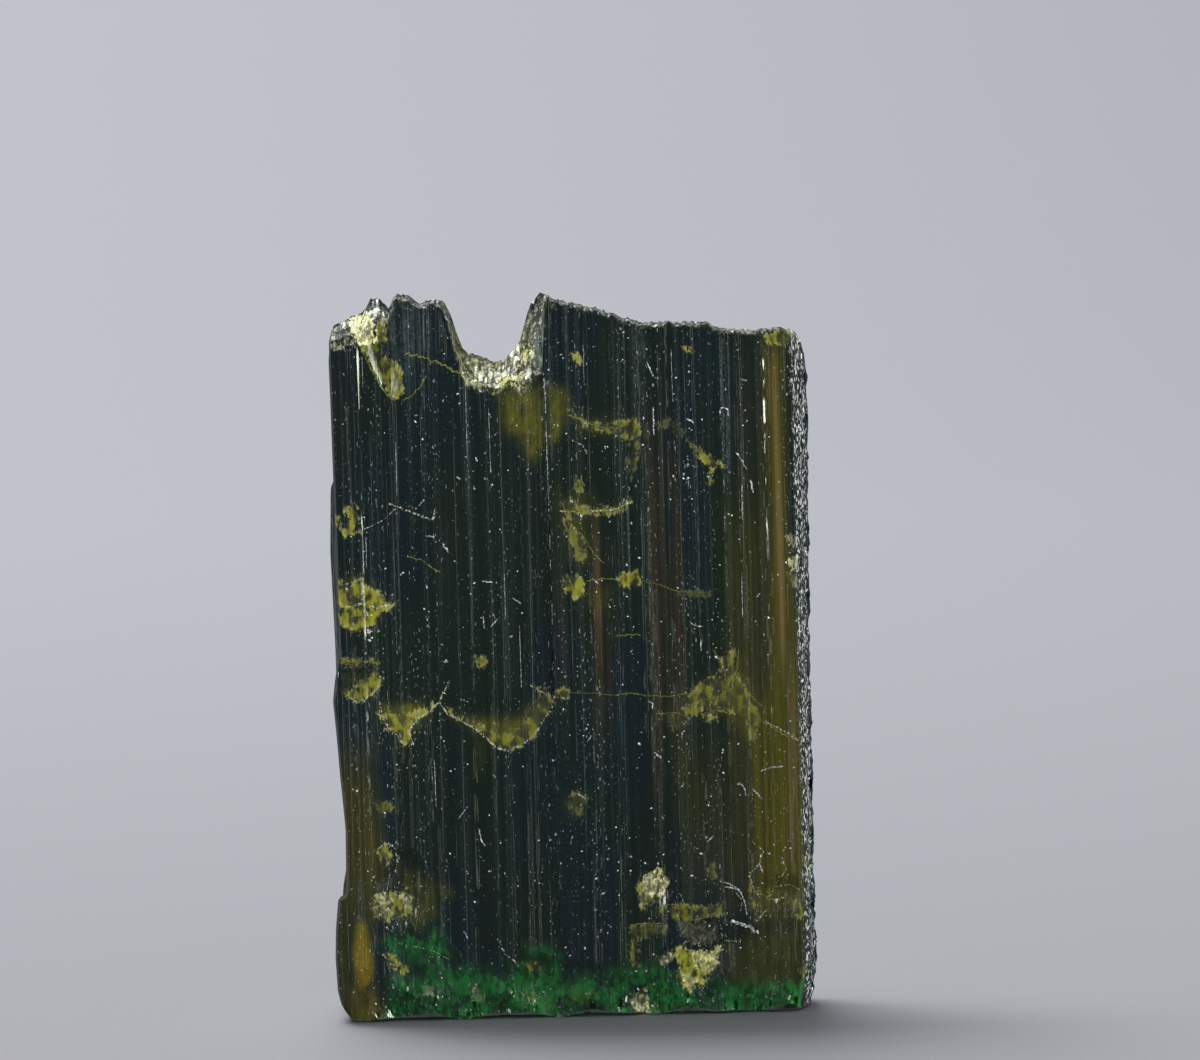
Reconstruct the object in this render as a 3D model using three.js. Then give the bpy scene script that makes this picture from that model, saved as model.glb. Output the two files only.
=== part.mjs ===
// An epidote crystal: one flat striated blade, about 29 mm long, with a broken head that
// has a notch scooped out of it, a rough right-hand edge and a foot broken off flat.
// Millimetres. +Z runs up along the striations, the broad front face looks towards -Y,
// and the origin is the middle of the foot that it stands on.

import * as THREE from "three";
import { mergeVertices } from "three/addons/utils/BufferGeometryUtils.js";

// Driving dimensions
const HEIGHT = 29.3; // foot to the highest crumb of the head
const HALF_WIDTH = 9.85; // half the width across the front face
const HALF_THICKNESS = 3.9; // half the way from the front face to the back face
const THIN_EDGE = 0.4; // where the back slope meets the rough right-hand edge, as a y
const SLOPE_START = 3.6; // x at which the back face turns into the back slope
const COLUMN_GAP = 0.46; // widest strip between two ridges in this faceted solid
const STEP_HALF = 0.05; // half the width of a step between two growth plates
const EDGE_ROUGHNESS = 0.16; // how far the right-hand edge wanders
const EDGE_CHANGE = 0.36; // share of the thickness where the left edge's rear line takes over
const HEAD_LUMPS = 0.16; // height of the slow lumps on the broken head
const BACK_RIM_CURVE = 1.4; // power by which the head falls away towards its back rim
const CRUMB_LENGTH = 1.5; // how much longer a crumb is through the crystal than across it
const FOOT_TURN_IN = 0.28; // how far both broad faces turn in at the foot
const FOOT_TURN_HEIGHT = 2.2; // height over which they do
const FOOT_RIM_SHARE = 0.12; // share of the thickness that the chips of the foot's rim take
const FOOT_END = 0.8; // the same at the two ends, as a length
const FOOT_END_INSET = 0.4; // how far inside HALF_WIDTH those end chips stop
const FOOT_CHIP_HEIGHT = 0.16; // usual height of the chips round the foot

// Lines that follow the silhouette. The head gives z for each x, and the edges x for each z.
const HEAD = [
  [-9.45, 27.6], [-9.05, 28.05], [-8.5, 28.45], [-7.9, 28.5], [-7.0, 28.7], [-6.2, 28.95],
  [-4.75, 28.9], [-4.45, 28.1], [-4.2, 27.2], [-3.6, 26.7], [-2.8, 26.45], [-2.1, 26.65],
  [-1.45, 27.5], [-1.25, 28.4], [-0.75, 29.1], [-0.3, 28.85], [1.2, 28.55], [2.3, 28.1],
  [3.2, 27.85], [5.8, 27.8], [6.5, 27.4], [8.4, 27.42], [9.1, 27.3], [9.6, 26.9], [9.85, 26.1],
];
const LEFT_FRONT = [
  [0, -9.3], [0.5, -9.65], [1.2, -9.8], [2.6, -9.85], [3.8, -9.8], [5.1, -9.65], [5.3, -9.32],
  [7.8, -9.3], [9.8, -9.45], [11.5, -9.55], [12.9, -9.66], [14.2, -9.5], [15.2, -9.36],
  [22, -9.4], [27, -9.45], [28.5, -9.25],
];
const LEFT_REAR = [
  [0, -9.0], [0.8, -9.6], [3, -9.8], [5.2, -9.6], [6.5, -9.35], [9.4, -9.4], [11, -9.62],
  [15, -9.66], [18.8, -9.75], [21.6, -9.66], [22.4, -9.4], [26, -9.3], [28.5, -9.1],
];
const RIGHT_EDGE = [
  [0, 9.35], [0.8, 9.55], [1.8, 9.68], [5, 9.65], [9, 9.7], [14, 9.7], [18, 9.75], [21, 9.8],
  [23, HALF_WIDTH], [26.2, HALF_WIDTH], [27.4, 9.6],
];

// Plan of the two narrow sides, front to back: [share of the thickness, way in from the edge]
const LEFT_SIDE = [[0, 0.12], [0.1, 0], [0.3, 0.04], [0.38, 0.3], [0.44, 0.02], [0.8, 0], [1, 1.3]];
const RIGHT_SIDE = [[0, 0.72], [0.16, 0.3], [0.4, 0.04], [0.72, 0], [1, 0.5]];

// Growth plates of the front face, left to right: the x where each starts, and how far it lies in
const FRONT_PLATES = [
  [-9.9, 0.2], [-8.25, 0.3], [-6.95, 0.22], [-4.05, 0.34], [-0.78, 0.06], [0.85, 0], [3.15, 0.07],
  [4.5, 0.02], [6.25, 0.12], [7.0, 0.05], [7.95, 0.16], [8.75, 0.1],
];
const BACK_PLATES = [[-9.9, 0.25], [-6.6, 0], [-2.3, 0.18], [1.1, 0.05], [5.2, 0.2], [7.6, 0.08]];

// Scars on the front face: middle x and z, half width, half height, lean in degrees, depth
const FRONT_SCARS = [
  [-7.3, 27.2, 0.55, 2.1, 12, 0.5], // chip that runs down from the head
  [-5.15, 27.4, 0.5, 1.5, 8, 0.16],
  [-7.5, 20.3, 1.7, 0.5, -8, 0.28],
  [-8.3, 16.8, 1.1, 1.15, 0, 0.24],
  [-8.5, 13.6, 0.8, 0.75, 0, 0.2],
  [-6.7, 12.3, 1.1, 0.8, 25, 0.22],
  [-2.7, 12.1, 2.0, 0.85, 0, 0.26],
  [0.8, 17.7, 1.1, 0.55, 0, 0.15],
  [0.7, 20.6, 1.0, 0.4, 0, 0.12],
  [5.8, 12.9, 1.7, 0.9, -20, 0.2],
  [-7.0, 5.4, 1.0, 1.6, -10, 0.34],
  [3.1, 5.1, 0.65, 0.95, -15, 0.35],
  [4.9, 2.4, 1.5, 1.1, 30, 0.4],
  [7.9, 4.6, 1.2, 0.9, 25, 0.3],
  [-6.2, 2.2, 1.6, 1.2, -20, 0.38],
  [-1.6, 1.6, 1.5, 1.0, 10, 0.36],
  [1.9, 0.9, 0.9, 0.8, 0, 0.3],
];
const BACK_SCARS = [
  [-4.6, 21.5, 2.4, 1.6, 20, 0.5],
  [2.4, 16.2, 1.5, 2.2, -15, 0.35],
  [-6.3, 9.8, 1.4, 1.1, 0, 0.3],
  [0.2, 7.4, 2.6, 1.2, 10, 0.45],
  [6.6, 22.4, 1.1, 1.9, 0, 0.3],
  [-2.2, 1.8, 2.2, 1.3, 0, 0.5],
  [5.6, 3.0, 1.5, 1.6, -20, 0.4],
];

// Crumbs that stand on the broken head: x, y, half width, height
const CRUMBS = [
  [-7.35, -1.9, 0.42, 0.62], [-6.4, -2.1, 0.55, 0.42], [-5.6, -1.4, 0.5, 0.2],
  [-8.7, -0.6, 0.5, 0.2], [-6.9, 1.2, 0.7, 0.35], [1.4, 0.8, 0.9, 0.2], [4.6, -1.6, 0.7, 0.15],
];
// How far the front rim of the head lies below the silhouette: x, drop
const FRONT_RIM = [
  [-9.5, 0.55], [-8.6, 0.85], [-8.3, 0.8], [-7.8, 0.9], [-7.2, 0.7], [-6.9, 0.25], [-5.0, 0.12],
  [-4.6, 0.35], [-3.9, 1.0], [-3.2, 1.1], [-2.2, 0.95], [-1.3, 1.4], [-0.8, 0.3], [-0.3, 0.08],
  [9.85, 0.06],
];
// The back rim falls away too, as a broken blade does
const BACK_RIM = [[-9.5, 0.4], [-7, 1.3], [-4, 0.6], [-1, 1.5], [2, 0.5], [5, 1.1], [9.85, 0.3]];
const RIM_DEPTH = 0.3; // share of the thickness over which a rim rises to the silhouette

// Fine ridges that run the whole length of the crystal: height, width, shift
const STRIAE = [[0.045, 1.73, 0], [0.035, 0.79, 0.4], [0.02, 0.37, 0]];

// Straight-line reading of a list of [place, value] pairs
function along(line, place) {
  const last = line.length - 1;
  if (place <= line[0][0]) return line[0][1];
  if (place >= line[last][0]) return line[last][1];
  const i = line.findIndex(([p]) => p > place) - 1;
  const share = (place - line[i][0]) / (line[i + 1][0] - line[i][0]);
  return THREE.MathUtils.lerp(line[i][1], line[i + 1][1], share);
}

// Depth of the plate at x, turning into its neighbour over a narrow step
function plateDepth(plates, x) {
  return plates.reduce((depth, [start, value], i) => {
    if (i === 0) return value;
    const share = THREE.MathUtils.smoothstep(x, start - STEP_HALF, start + STEP_HALF);
    return THREE.MathUtils.lerp(depth, value, share);
  }, 0);
}

// Triangle wave between 0 and 1
const ridge = (x, width) => Math.abs(((((x / width) % 1) + 1) % 1) * 2 - 1);

function striae(x) {
  return STRIAE.reduce((total, [height, width, shift]) => total + height * ridge(x + shift, width), 0);
}

// Slow lumps of a broken surface, between -1 and 1. The factors are radians per millimetre.
const lumps = (x, y) => Math.sin(1.9 * x + 0.9 * y) * Math.cos(2.1 * y - 0.5 * x + 0.8);

// Depth of the shell-shaped scars at a point of a face
function scarDepth(scars, x, z) {
  return scars.reduce((deepest, [cx, cz, halfWidth, halfHeight, lean, depth]) => {
    const a = THREE.MathUtils.degToRad(lean);
    const across = ((x - cx) * Math.cos(a) + (z - cz) * Math.sin(a)) / halfWidth;
    const up = ((z - cz) * Math.cos(a) - (x - cx) * Math.sin(a)) / halfHeight;
    return Math.max(deepest, depth * Math.max(0, 1 - across * across - up * up));
  }, 0);
}

// The right-hand edge is a broken comb of needle ends, so it wanders in and out in two waves
function edgeBreak(share, z) {
  const comb = 0.5 + 0.3 * Math.sin(2.6 * z + 9 * share) + 0.2 * Math.sin(6.1 * z - 14 * share);
  return EDGE_ROUGHNESS * comb * Math.sin(Math.PI * Math.min(1, 0.12 + share));
}

// The foot is broken, so both broad faces turn in unevenly just above it
function footBreak(x, z) {
  return FOOT_TURN_IN * Math.max(0, 1 - z / FOOT_TURN_HEIGHT) * (1 + 0.7 * lumps(1.3 * x, z));
}

function frontFace(x, z) {
  const inset = plateDepth(FRONT_PLATES, x) + striae(x) + scarDepth(FRONT_SCARS, x, z);
  return -HALF_THICKNESS + inset + footBreak(x, z);
}

function backFace(x, z) {
  const slope = Math.max(0, (x - SLOPE_START) / (HALF_WIDTH - SLOPE_START));
  const plane = THREE.MathUtils.lerp(HALF_THICKNESS, THIN_EDGE, Math.min(1, slope));
  const inset = plateDepth(BACK_PLATES, x) + striae(x + 0.9) + scarDepth(BACK_SCARS, x, z);
  return plane - inset - footBreak(x + 2, z);
}

// Height of the broken head over a point of the plan. share runs from 0 in front to 1 behind.
function headHeight(x, y, share) {
  const front = along(FRONT_RIM, x) * Math.max(0, 1 - share / RIM_DEPTH);
  const behind = Math.max(0, (share - RIM_DEPTH) / (1 - RIM_DEPTH));
  const back = along(BACK_RIM, x) * behind ** BACK_RIM_CURVE;
  const broken = HEAD_LUMPS * (1 - Math.abs(lumps(x, y)));
  const crumb = CRUMBS.reduce((high, [cx, cy, half, height]) => {
    const r = Math.hypot(x - cx, (y - cy) / CRUMB_LENGTH) / half;
    return Math.max(high, height * Math.max(0, 1 - r ** 3));
  }, 0);
  return along(HEAD, x) - front - back - broken * share + crumb;
}

// Height of the foot: flat where it stands, chipped up along its rim
function footHeight(x, share) {
  const rim = Math.min(share, 1 - share) / FOOT_RIM_SHARE;
  const end = (HALF_WIDTH - FOOT_END_INSET - Math.abs(x)) / FOOT_END;
  const chip = FOOT_CHIP_HEIGHT + 0.1 * Math.sin(1.7 * x) + 0.06 * Math.sin(3.1 * x + 1);
  return Math.max(0, chip * Math.max(0, 1 - Math.min(rim, end)));
}

// Places of the strips, rows and levels of the faceted solid, each from 0 to 1
function columnStops() {
  const edges = FRONT_PLATES.slice(1).flatMap(([x]) => [x - STEP_HALF, x + STEP_HALF]);
  const fixed = [-HALF_WIDTH, ...edges, HALF_WIDTH];
  const stops = fixed.slice(1).flatMap((x, i) => {
    const strips = Math.ceil((x - fixed[i]) / COLUMN_GAP);
    return Array.from({ length: strips }, (_, k) => fixed[i] + ((x - fixed[i]) * k) / strips);
  });
  return [...stops, HALF_WIDTH].map((x) => (x + HALF_WIDTH) / (2 * HALF_WIDTH));
}
const COLUMNS = columnStops();
const ROWS = [0, 0.05, 0.14, 0.24, 0.34, 0.4, 0.47, 0.62, 0.76, 0.9, 1];
const LEVELS_MM = [
  0, 0.5, 1.2, 2, 2.9, 3.9, 4.9, 5.2, 5.5, 6.8, 9, 11.2, 11.9, 12.6, 13.4, 14.3, 16, 17, 18, 20,
  20.8, 22.2, 24, 25.4, 26.6, 27.5, 28.4, HEIGHT,
];
const LEVELS = LEVELS_MM.map((z) => z / HEIGHT);

// Moves one point of the unit block onto the crystal's skin
function place(point) {
  const column = COLUMNS[Math.round((point.x + 0.5) * (COLUMNS.length - 1))];
  const share = ROWS[Math.round((point.y + 0.5) * (ROWS.length - 1))];
  const level = LEVELS[Math.round((point.z + 0.5) * (LEVELS.length - 1))];
  const across = (z) => {
    const edge = share < EDGE_CHANGE ? LEFT_FRONT : LEFT_REAR;
    const left = along(edge, z) + along(LEFT_SIDE, share);
    const right = along(RIGHT_EDGE, z) - along(RIGHT_SIDE, share) - edgeBreak(share, z);
    return THREE.MathUtils.lerp(left, right, column);
  };
  const roughX = across(level * HEIGHT);
  const roughY = THREE.MathUtils.lerp(-HALF_THICKNESS, HALF_THICKNESS, share);
  const foot = footHeight(roughX, share);
  const z = THREE.MathUtils.lerp(foot, headHeight(roughX, roughY, share), level);
  const x = across(z);
  const y = THREE.MathUtils.lerp(frontFace(x, z), backFace(x, z), share);
  return point.set(x, y, z);
}

function crystalGeometry() {
  const strips = COLUMNS.length - 1;
  const block = new THREE.BoxGeometry(1, 1, 1, strips, ROWS.length - 1, LEVELS.length - 1);
  block.deleteAttribute("normal");
  block.deleteAttribute("uv");
  const skin = block.attributes.position;
  const point = new THREE.Vector3();
  for (let i = 0; i < skin.count; i += 1) {
    place(point.fromBufferAttribute(skin, i));
    skin.setXYZ(i, point.x, point.y, point.z);
  }
  const closed = mergeVertices(block, 1e-4);
  closed.computeBoundingBox();
  const middle = closed.boundingBox.getCenter(new THREE.Vector3());
  closed.translate(-middle.x, -middle.y, -closed.boundingBox.min.z);
  return closed.toNonIndexed();
}

// Dark pistachio green, almost black, with a glassy lustre
function crystalMaterial() {
  return new THREE.MeshStandardMaterial({
    color: 0x232b22,
    roughness: 0.2,
    metalness: 0,
    flatShading: true,
  });
}

const crystal = new THREE.Mesh(crystalGeometry(), crystalMaterial());
crystal.name = "epidote_crystal";

const part = new THREE.Group();
part.add(crystal);
export default part;
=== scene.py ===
import math
import random

import bmesh
import bpy
import numpy as np
from mathutils import Matrix, Vector, noise


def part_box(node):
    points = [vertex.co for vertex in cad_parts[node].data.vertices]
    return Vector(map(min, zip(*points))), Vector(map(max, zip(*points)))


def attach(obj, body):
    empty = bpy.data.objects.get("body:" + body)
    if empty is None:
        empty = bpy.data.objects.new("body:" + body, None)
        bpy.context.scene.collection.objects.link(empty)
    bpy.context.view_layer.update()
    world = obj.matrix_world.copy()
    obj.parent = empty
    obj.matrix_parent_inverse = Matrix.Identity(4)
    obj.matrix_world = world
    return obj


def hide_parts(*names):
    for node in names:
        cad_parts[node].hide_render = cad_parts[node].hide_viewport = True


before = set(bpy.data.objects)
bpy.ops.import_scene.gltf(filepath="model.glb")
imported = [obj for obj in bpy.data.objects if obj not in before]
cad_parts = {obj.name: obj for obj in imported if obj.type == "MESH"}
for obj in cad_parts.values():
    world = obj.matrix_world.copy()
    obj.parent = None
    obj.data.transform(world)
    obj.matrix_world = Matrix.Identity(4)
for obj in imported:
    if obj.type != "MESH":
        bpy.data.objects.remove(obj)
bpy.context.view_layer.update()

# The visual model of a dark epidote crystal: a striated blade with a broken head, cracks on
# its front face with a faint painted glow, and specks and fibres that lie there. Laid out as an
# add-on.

bl_info = {
    "name": "Epidote Crystal",
    "version": (1, 0, 0),
    "blender": (4, 5, 0),
    "location": "View3D > Sidebar > Epidote",
    "description": "Builds a striated epidote blade with cracks, dust and a studio stage",
    "category": "Add Mesh",
}

NODE = "epidote_crystal"
BLADE = "epidote_blade"
LIT = "crystal"
MM = 0.001
LOW, HIGH = (np.array(corner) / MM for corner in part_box(NODE))
HEIGHT = float(HIGH[2])
HALF_WIDTH = float(HIGH[0])
HALF_THICKNESS = 3.9
SEED = 41

# The silhouette. The head gives z for each x, and the edges give x for each z.
HEAD = [
    [-9.45, 27.8], [-9.35, 28.2], [-8.95, 28.3], [-8.6, 28.6], [-8.1, 28.55], [-7.95, 28.85],
    [-7.75, 29.18], [-7.35, 29.18], [-7.15, 28.9], [-7.0, 28.62], [-6.9, 29.05], [-6.7, 29.33],
    [-6.25, 29.3], [-6.05, 29.05], [-5.8, 28.98], [-5.2, 29.05], [-4.85, 29.0], [-4.7, 28.75],
    [-4.55, 28.3], [-4.38, 27.6], [-4.1, 27.05], [-3.8, 26.85], [-3.4, 26.72], [-2.9, 26.52],
    [-2.4, 26.6], [-2.15, 26.85], [-1.8, 27.25], [-1.58, 27.75], [-1.5, 28.3], [-1.3, 28.75],
    [-0.95, 29.2], [-0.6, 29.15], [-0.35, 28.95], [0.7, 28.7], [1.7, 28.42], [2.3, 28.15],
    [3.2, 27.92], [4.2, 27.95], [5.8, 27.85], [6.2, 27.62], [7.7, 27.5], [8.6, 27.58],
    [9.2, 27.45], [9.5, 27.15], [9.7, 26.75], [9.85, 26.3],
]
LEFT_FRONT = [
    [0, -9.3], [0.5, -9.65], [1.2, -9.8], [2.6, -9.85], [3.8, -9.8], [4.9, -9.68], [5.12, -9.34],
    [7.8, -9.3], [9.8, -9.45], [11.5, -9.55], [12.9, -9.66], [14.2, -9.5], [15.2, -9.36],
    [22, -9.4], [27, -9.45], [28.5, -9.25],
]
LEFT_REAR = [
    [0, -9.0], [0.8, -9.6], [3, -9.8], [5.2, -9.6], [6.5, -9.35], [9.4, -9.4], [11, -9.62],
    [15, -9.66], [18.8, -9.75], [21.6, -9.66], [22.4, -9.4], [26, -9.3], [28.5, -9.1],
]
RIGHT_EDGE = [
    [0, 9.35], [0.8, 9.55], [1.8, 9.68], [5, 9.65], [9, 9.7], [14, 9.7], [18, 9.75], [21, 9.8],
    [23, 9.85], [26.2, 9.85], [27.4, 9.6],
]
# How far the sides stand in from those edges, for shares of the thickness from front to back
LEFT_SIDE = [[0, 0.12], [0.1, 0], [0.3, 0.04], [0.38, 0.3], [0.44, 0.02], [0.8, 0], [1, 1.3]]
RIGHT_SIDE = [[0, 0.72], [0.16, 0.3], [0.4, 0.04], [0.72, 0], [1, 0.5]]
# Growth plates: where each starts, and how deep it lies. The back slopes to a thin right edge.
FRONT_PLATES = [
    [-9.9, 0.1], [-8.25, 0.16], [-6.95, 0.12], [-4.05, 0.14], [-0.78, 0.06], [0.85, 0],
    [3.15, 0.05], [4.5, 0.02], [6.25, 0.06], [7.0, 0.03], [7.95, 0.07], [8.75, 0.05],
]
BACK_PLATES = [[-9.9, 0.25], [-6.6, 0], [-2.3, 0.18], [1.1, 0.05], [5.2, 0.2], [7.6, 0.08]]
SLOPE_START, THIN_EDGE = 3.6, 0.4
# Half width of the steps between the plates, and how rough the right edge is
STEP_HALF = 0.04
EDGE_ROUGHNESS = 0.16
# Ridges along the crystal: how many, how high and how much they tilt, and between which
# widths and which heights of their ends they vary
STRIP_COUNT, STRIP_RISE, STRIP_TILT = 120, 0.04, 0.22
STRIP_WIDTHS = 0.09, 0.36
STRIP_ENDS = -6, 36

# The break is highest at this share of the thickness. From there it falls to its front and
# back rims, by so much for each x.
RIM_DEPTH = 0.3
FRONT_RIM = [
    [-9.5, 0.55], [-8.6, 0.85], [-8.3, 0.8], [-7.8, 0.9], [-7.2, 0.7], [-6.9, 0.25], [-5.0, 0.12],
    [-4.6, 0.35], [-3.9, 1.0], [-3.2, 1.1], [-2.2, 1.0], [-1.9, 1.4], [-1.4, 2.7], [-0.87, 3.2],
    [-0.77, 0.5], [-0.6, 0.1], [9.85, 0.06],
]
BACK_RIM = [[-9.5, 0.4], [-7, 1.3], [-4, 0.6], [-1, 1.5], [2, 0.5], [5, 1.1], [9.85, 0.3]]
COARSE_FACET, FINE_FACET = 0.85, 0.3

# How far down from the head the break shows on the front: x, depth
HEAD_BREAK = [
    [-9.5, 0.6], [-7.5, 0.5], [-6.9, 0.22], [-5.0, 0.16], [-4.6, 0.3], [-3.9, 0.5], [-1.4, 0.5],
    [-1.0, 0.25], [0, 0.1], [9.85, 0.12],
]
# Scars: x, z, half width, half height, lean in degrees, depth
FRONT_SCARS = [
    [-7.3, 27.2, 0.55, 2.1, 12, 0.3], [-5.15, 27.4, 0.5, 1.5, 8, 0.06],
    [-7.5, 20.3, 1.7, 0.5, -8, 0.05], [-8.3, 16.8, 1.1, 1.15, 0, 0.05],
    [-8.5, 13.6, 0.8, 0.75, 0, 0.05], [-6.7, 12.3, 1.1, 0.8, 25, 0.05],
    [-2.7, 12.1, 2.0, 0.85, 0, 0.05], [0.8, 17.7, 1.1, 0.55, 0, 0.03],
    [0.7, 20.6, 1.0, 0.4, 0, 0.03], [5.8, 12.9, 1.7, 0.9, -20, 0.04],
    [-7.0, 5.4, 1.0, 1.6, -10, 0.2], [3.1, 5.1, 0.65, 0.95, -15, 0.2],
    [4.9, 2.4, 1.5, 1.1, 30, 0.25], [7.9, 4.6, 1.2, 0.9, 25, 0.18],
    [-6.2, 2.2, 1.6, 1.2, -20, 0.22], [-1.6, 1.6, 1.5, 1.0, 10, 0.22],
    [1.9, 0.9, 0.9, 0.8, 0, 0.2],
]
BACK_SCARS = [
    [-4.6, 21.5, 2.4, 1.6, 20, 0.5], [2.4, 16.2, 1.5, 2.2, -15, 0.35],
    [-6.3, 9.8, 1.4, 1.1, 0, 0.3], [0.2, 7.4, 2.6, 1.2, 10, 0.45],
    [6.6, 22.4, 1.1, 1.9, 0, 0.3], [-2.2, 1.8, 2.2, 1.3, 0, 0.5],
    [5.6, 3.0, 1.5, 1.6, -20, 0.4],
]

# The skin's grid: the widest gaps between its columns and levels in millimetres and between
# its rows in shares of the thickness, and the rows and levels at which its shape turns
COLUMN_GAP, ROW_GAP, LEVEL_GAP = 0.087, 0.042, 0.198
ROW_STOPS = [0, 0.02, 0.06, 0.14, 0.34, 0.4, 0.47, 0.9, 0.97, 1]
LEVEL_STOPS = [0, 2, 5.1, 5.3, 11, 15, 26.5, HEIGHT]
# An edge is cut into no more pieces than this in one go
MOST_PIECES = 100
# Facets that meet at more than this, in degrees, keep a crisp edge
CREASE = 22

# Where the sketches are painted: on the front face, which is this share of the thickness, on
# the front part of the head above a height, and on one facet of the left edge, which carries
# painted reflection streaks
FRONT_SHARE = 0.1
HEAD_SHARE, HEAD_LEVEL = 0.34, 25
FACET_START, FACET_END, FACET_X = 0.36, 0.46, -9.2
# The middle of the notch, and the sizes of the patches in the painted green light of the foot
# and on the break
NOTCH_X = -2.9
GREEN_PATCH, BREAK_PATCH = 0.75, 1.3

# The outlines and paths from here on are sketched in millimetres with x from the step line in
# the middle of the front and z from a line just under the foot. This is where the model's
# origin lies in that sketch.
SKETCH_ORIGIN = np.array([0.31, 0.25])
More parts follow.
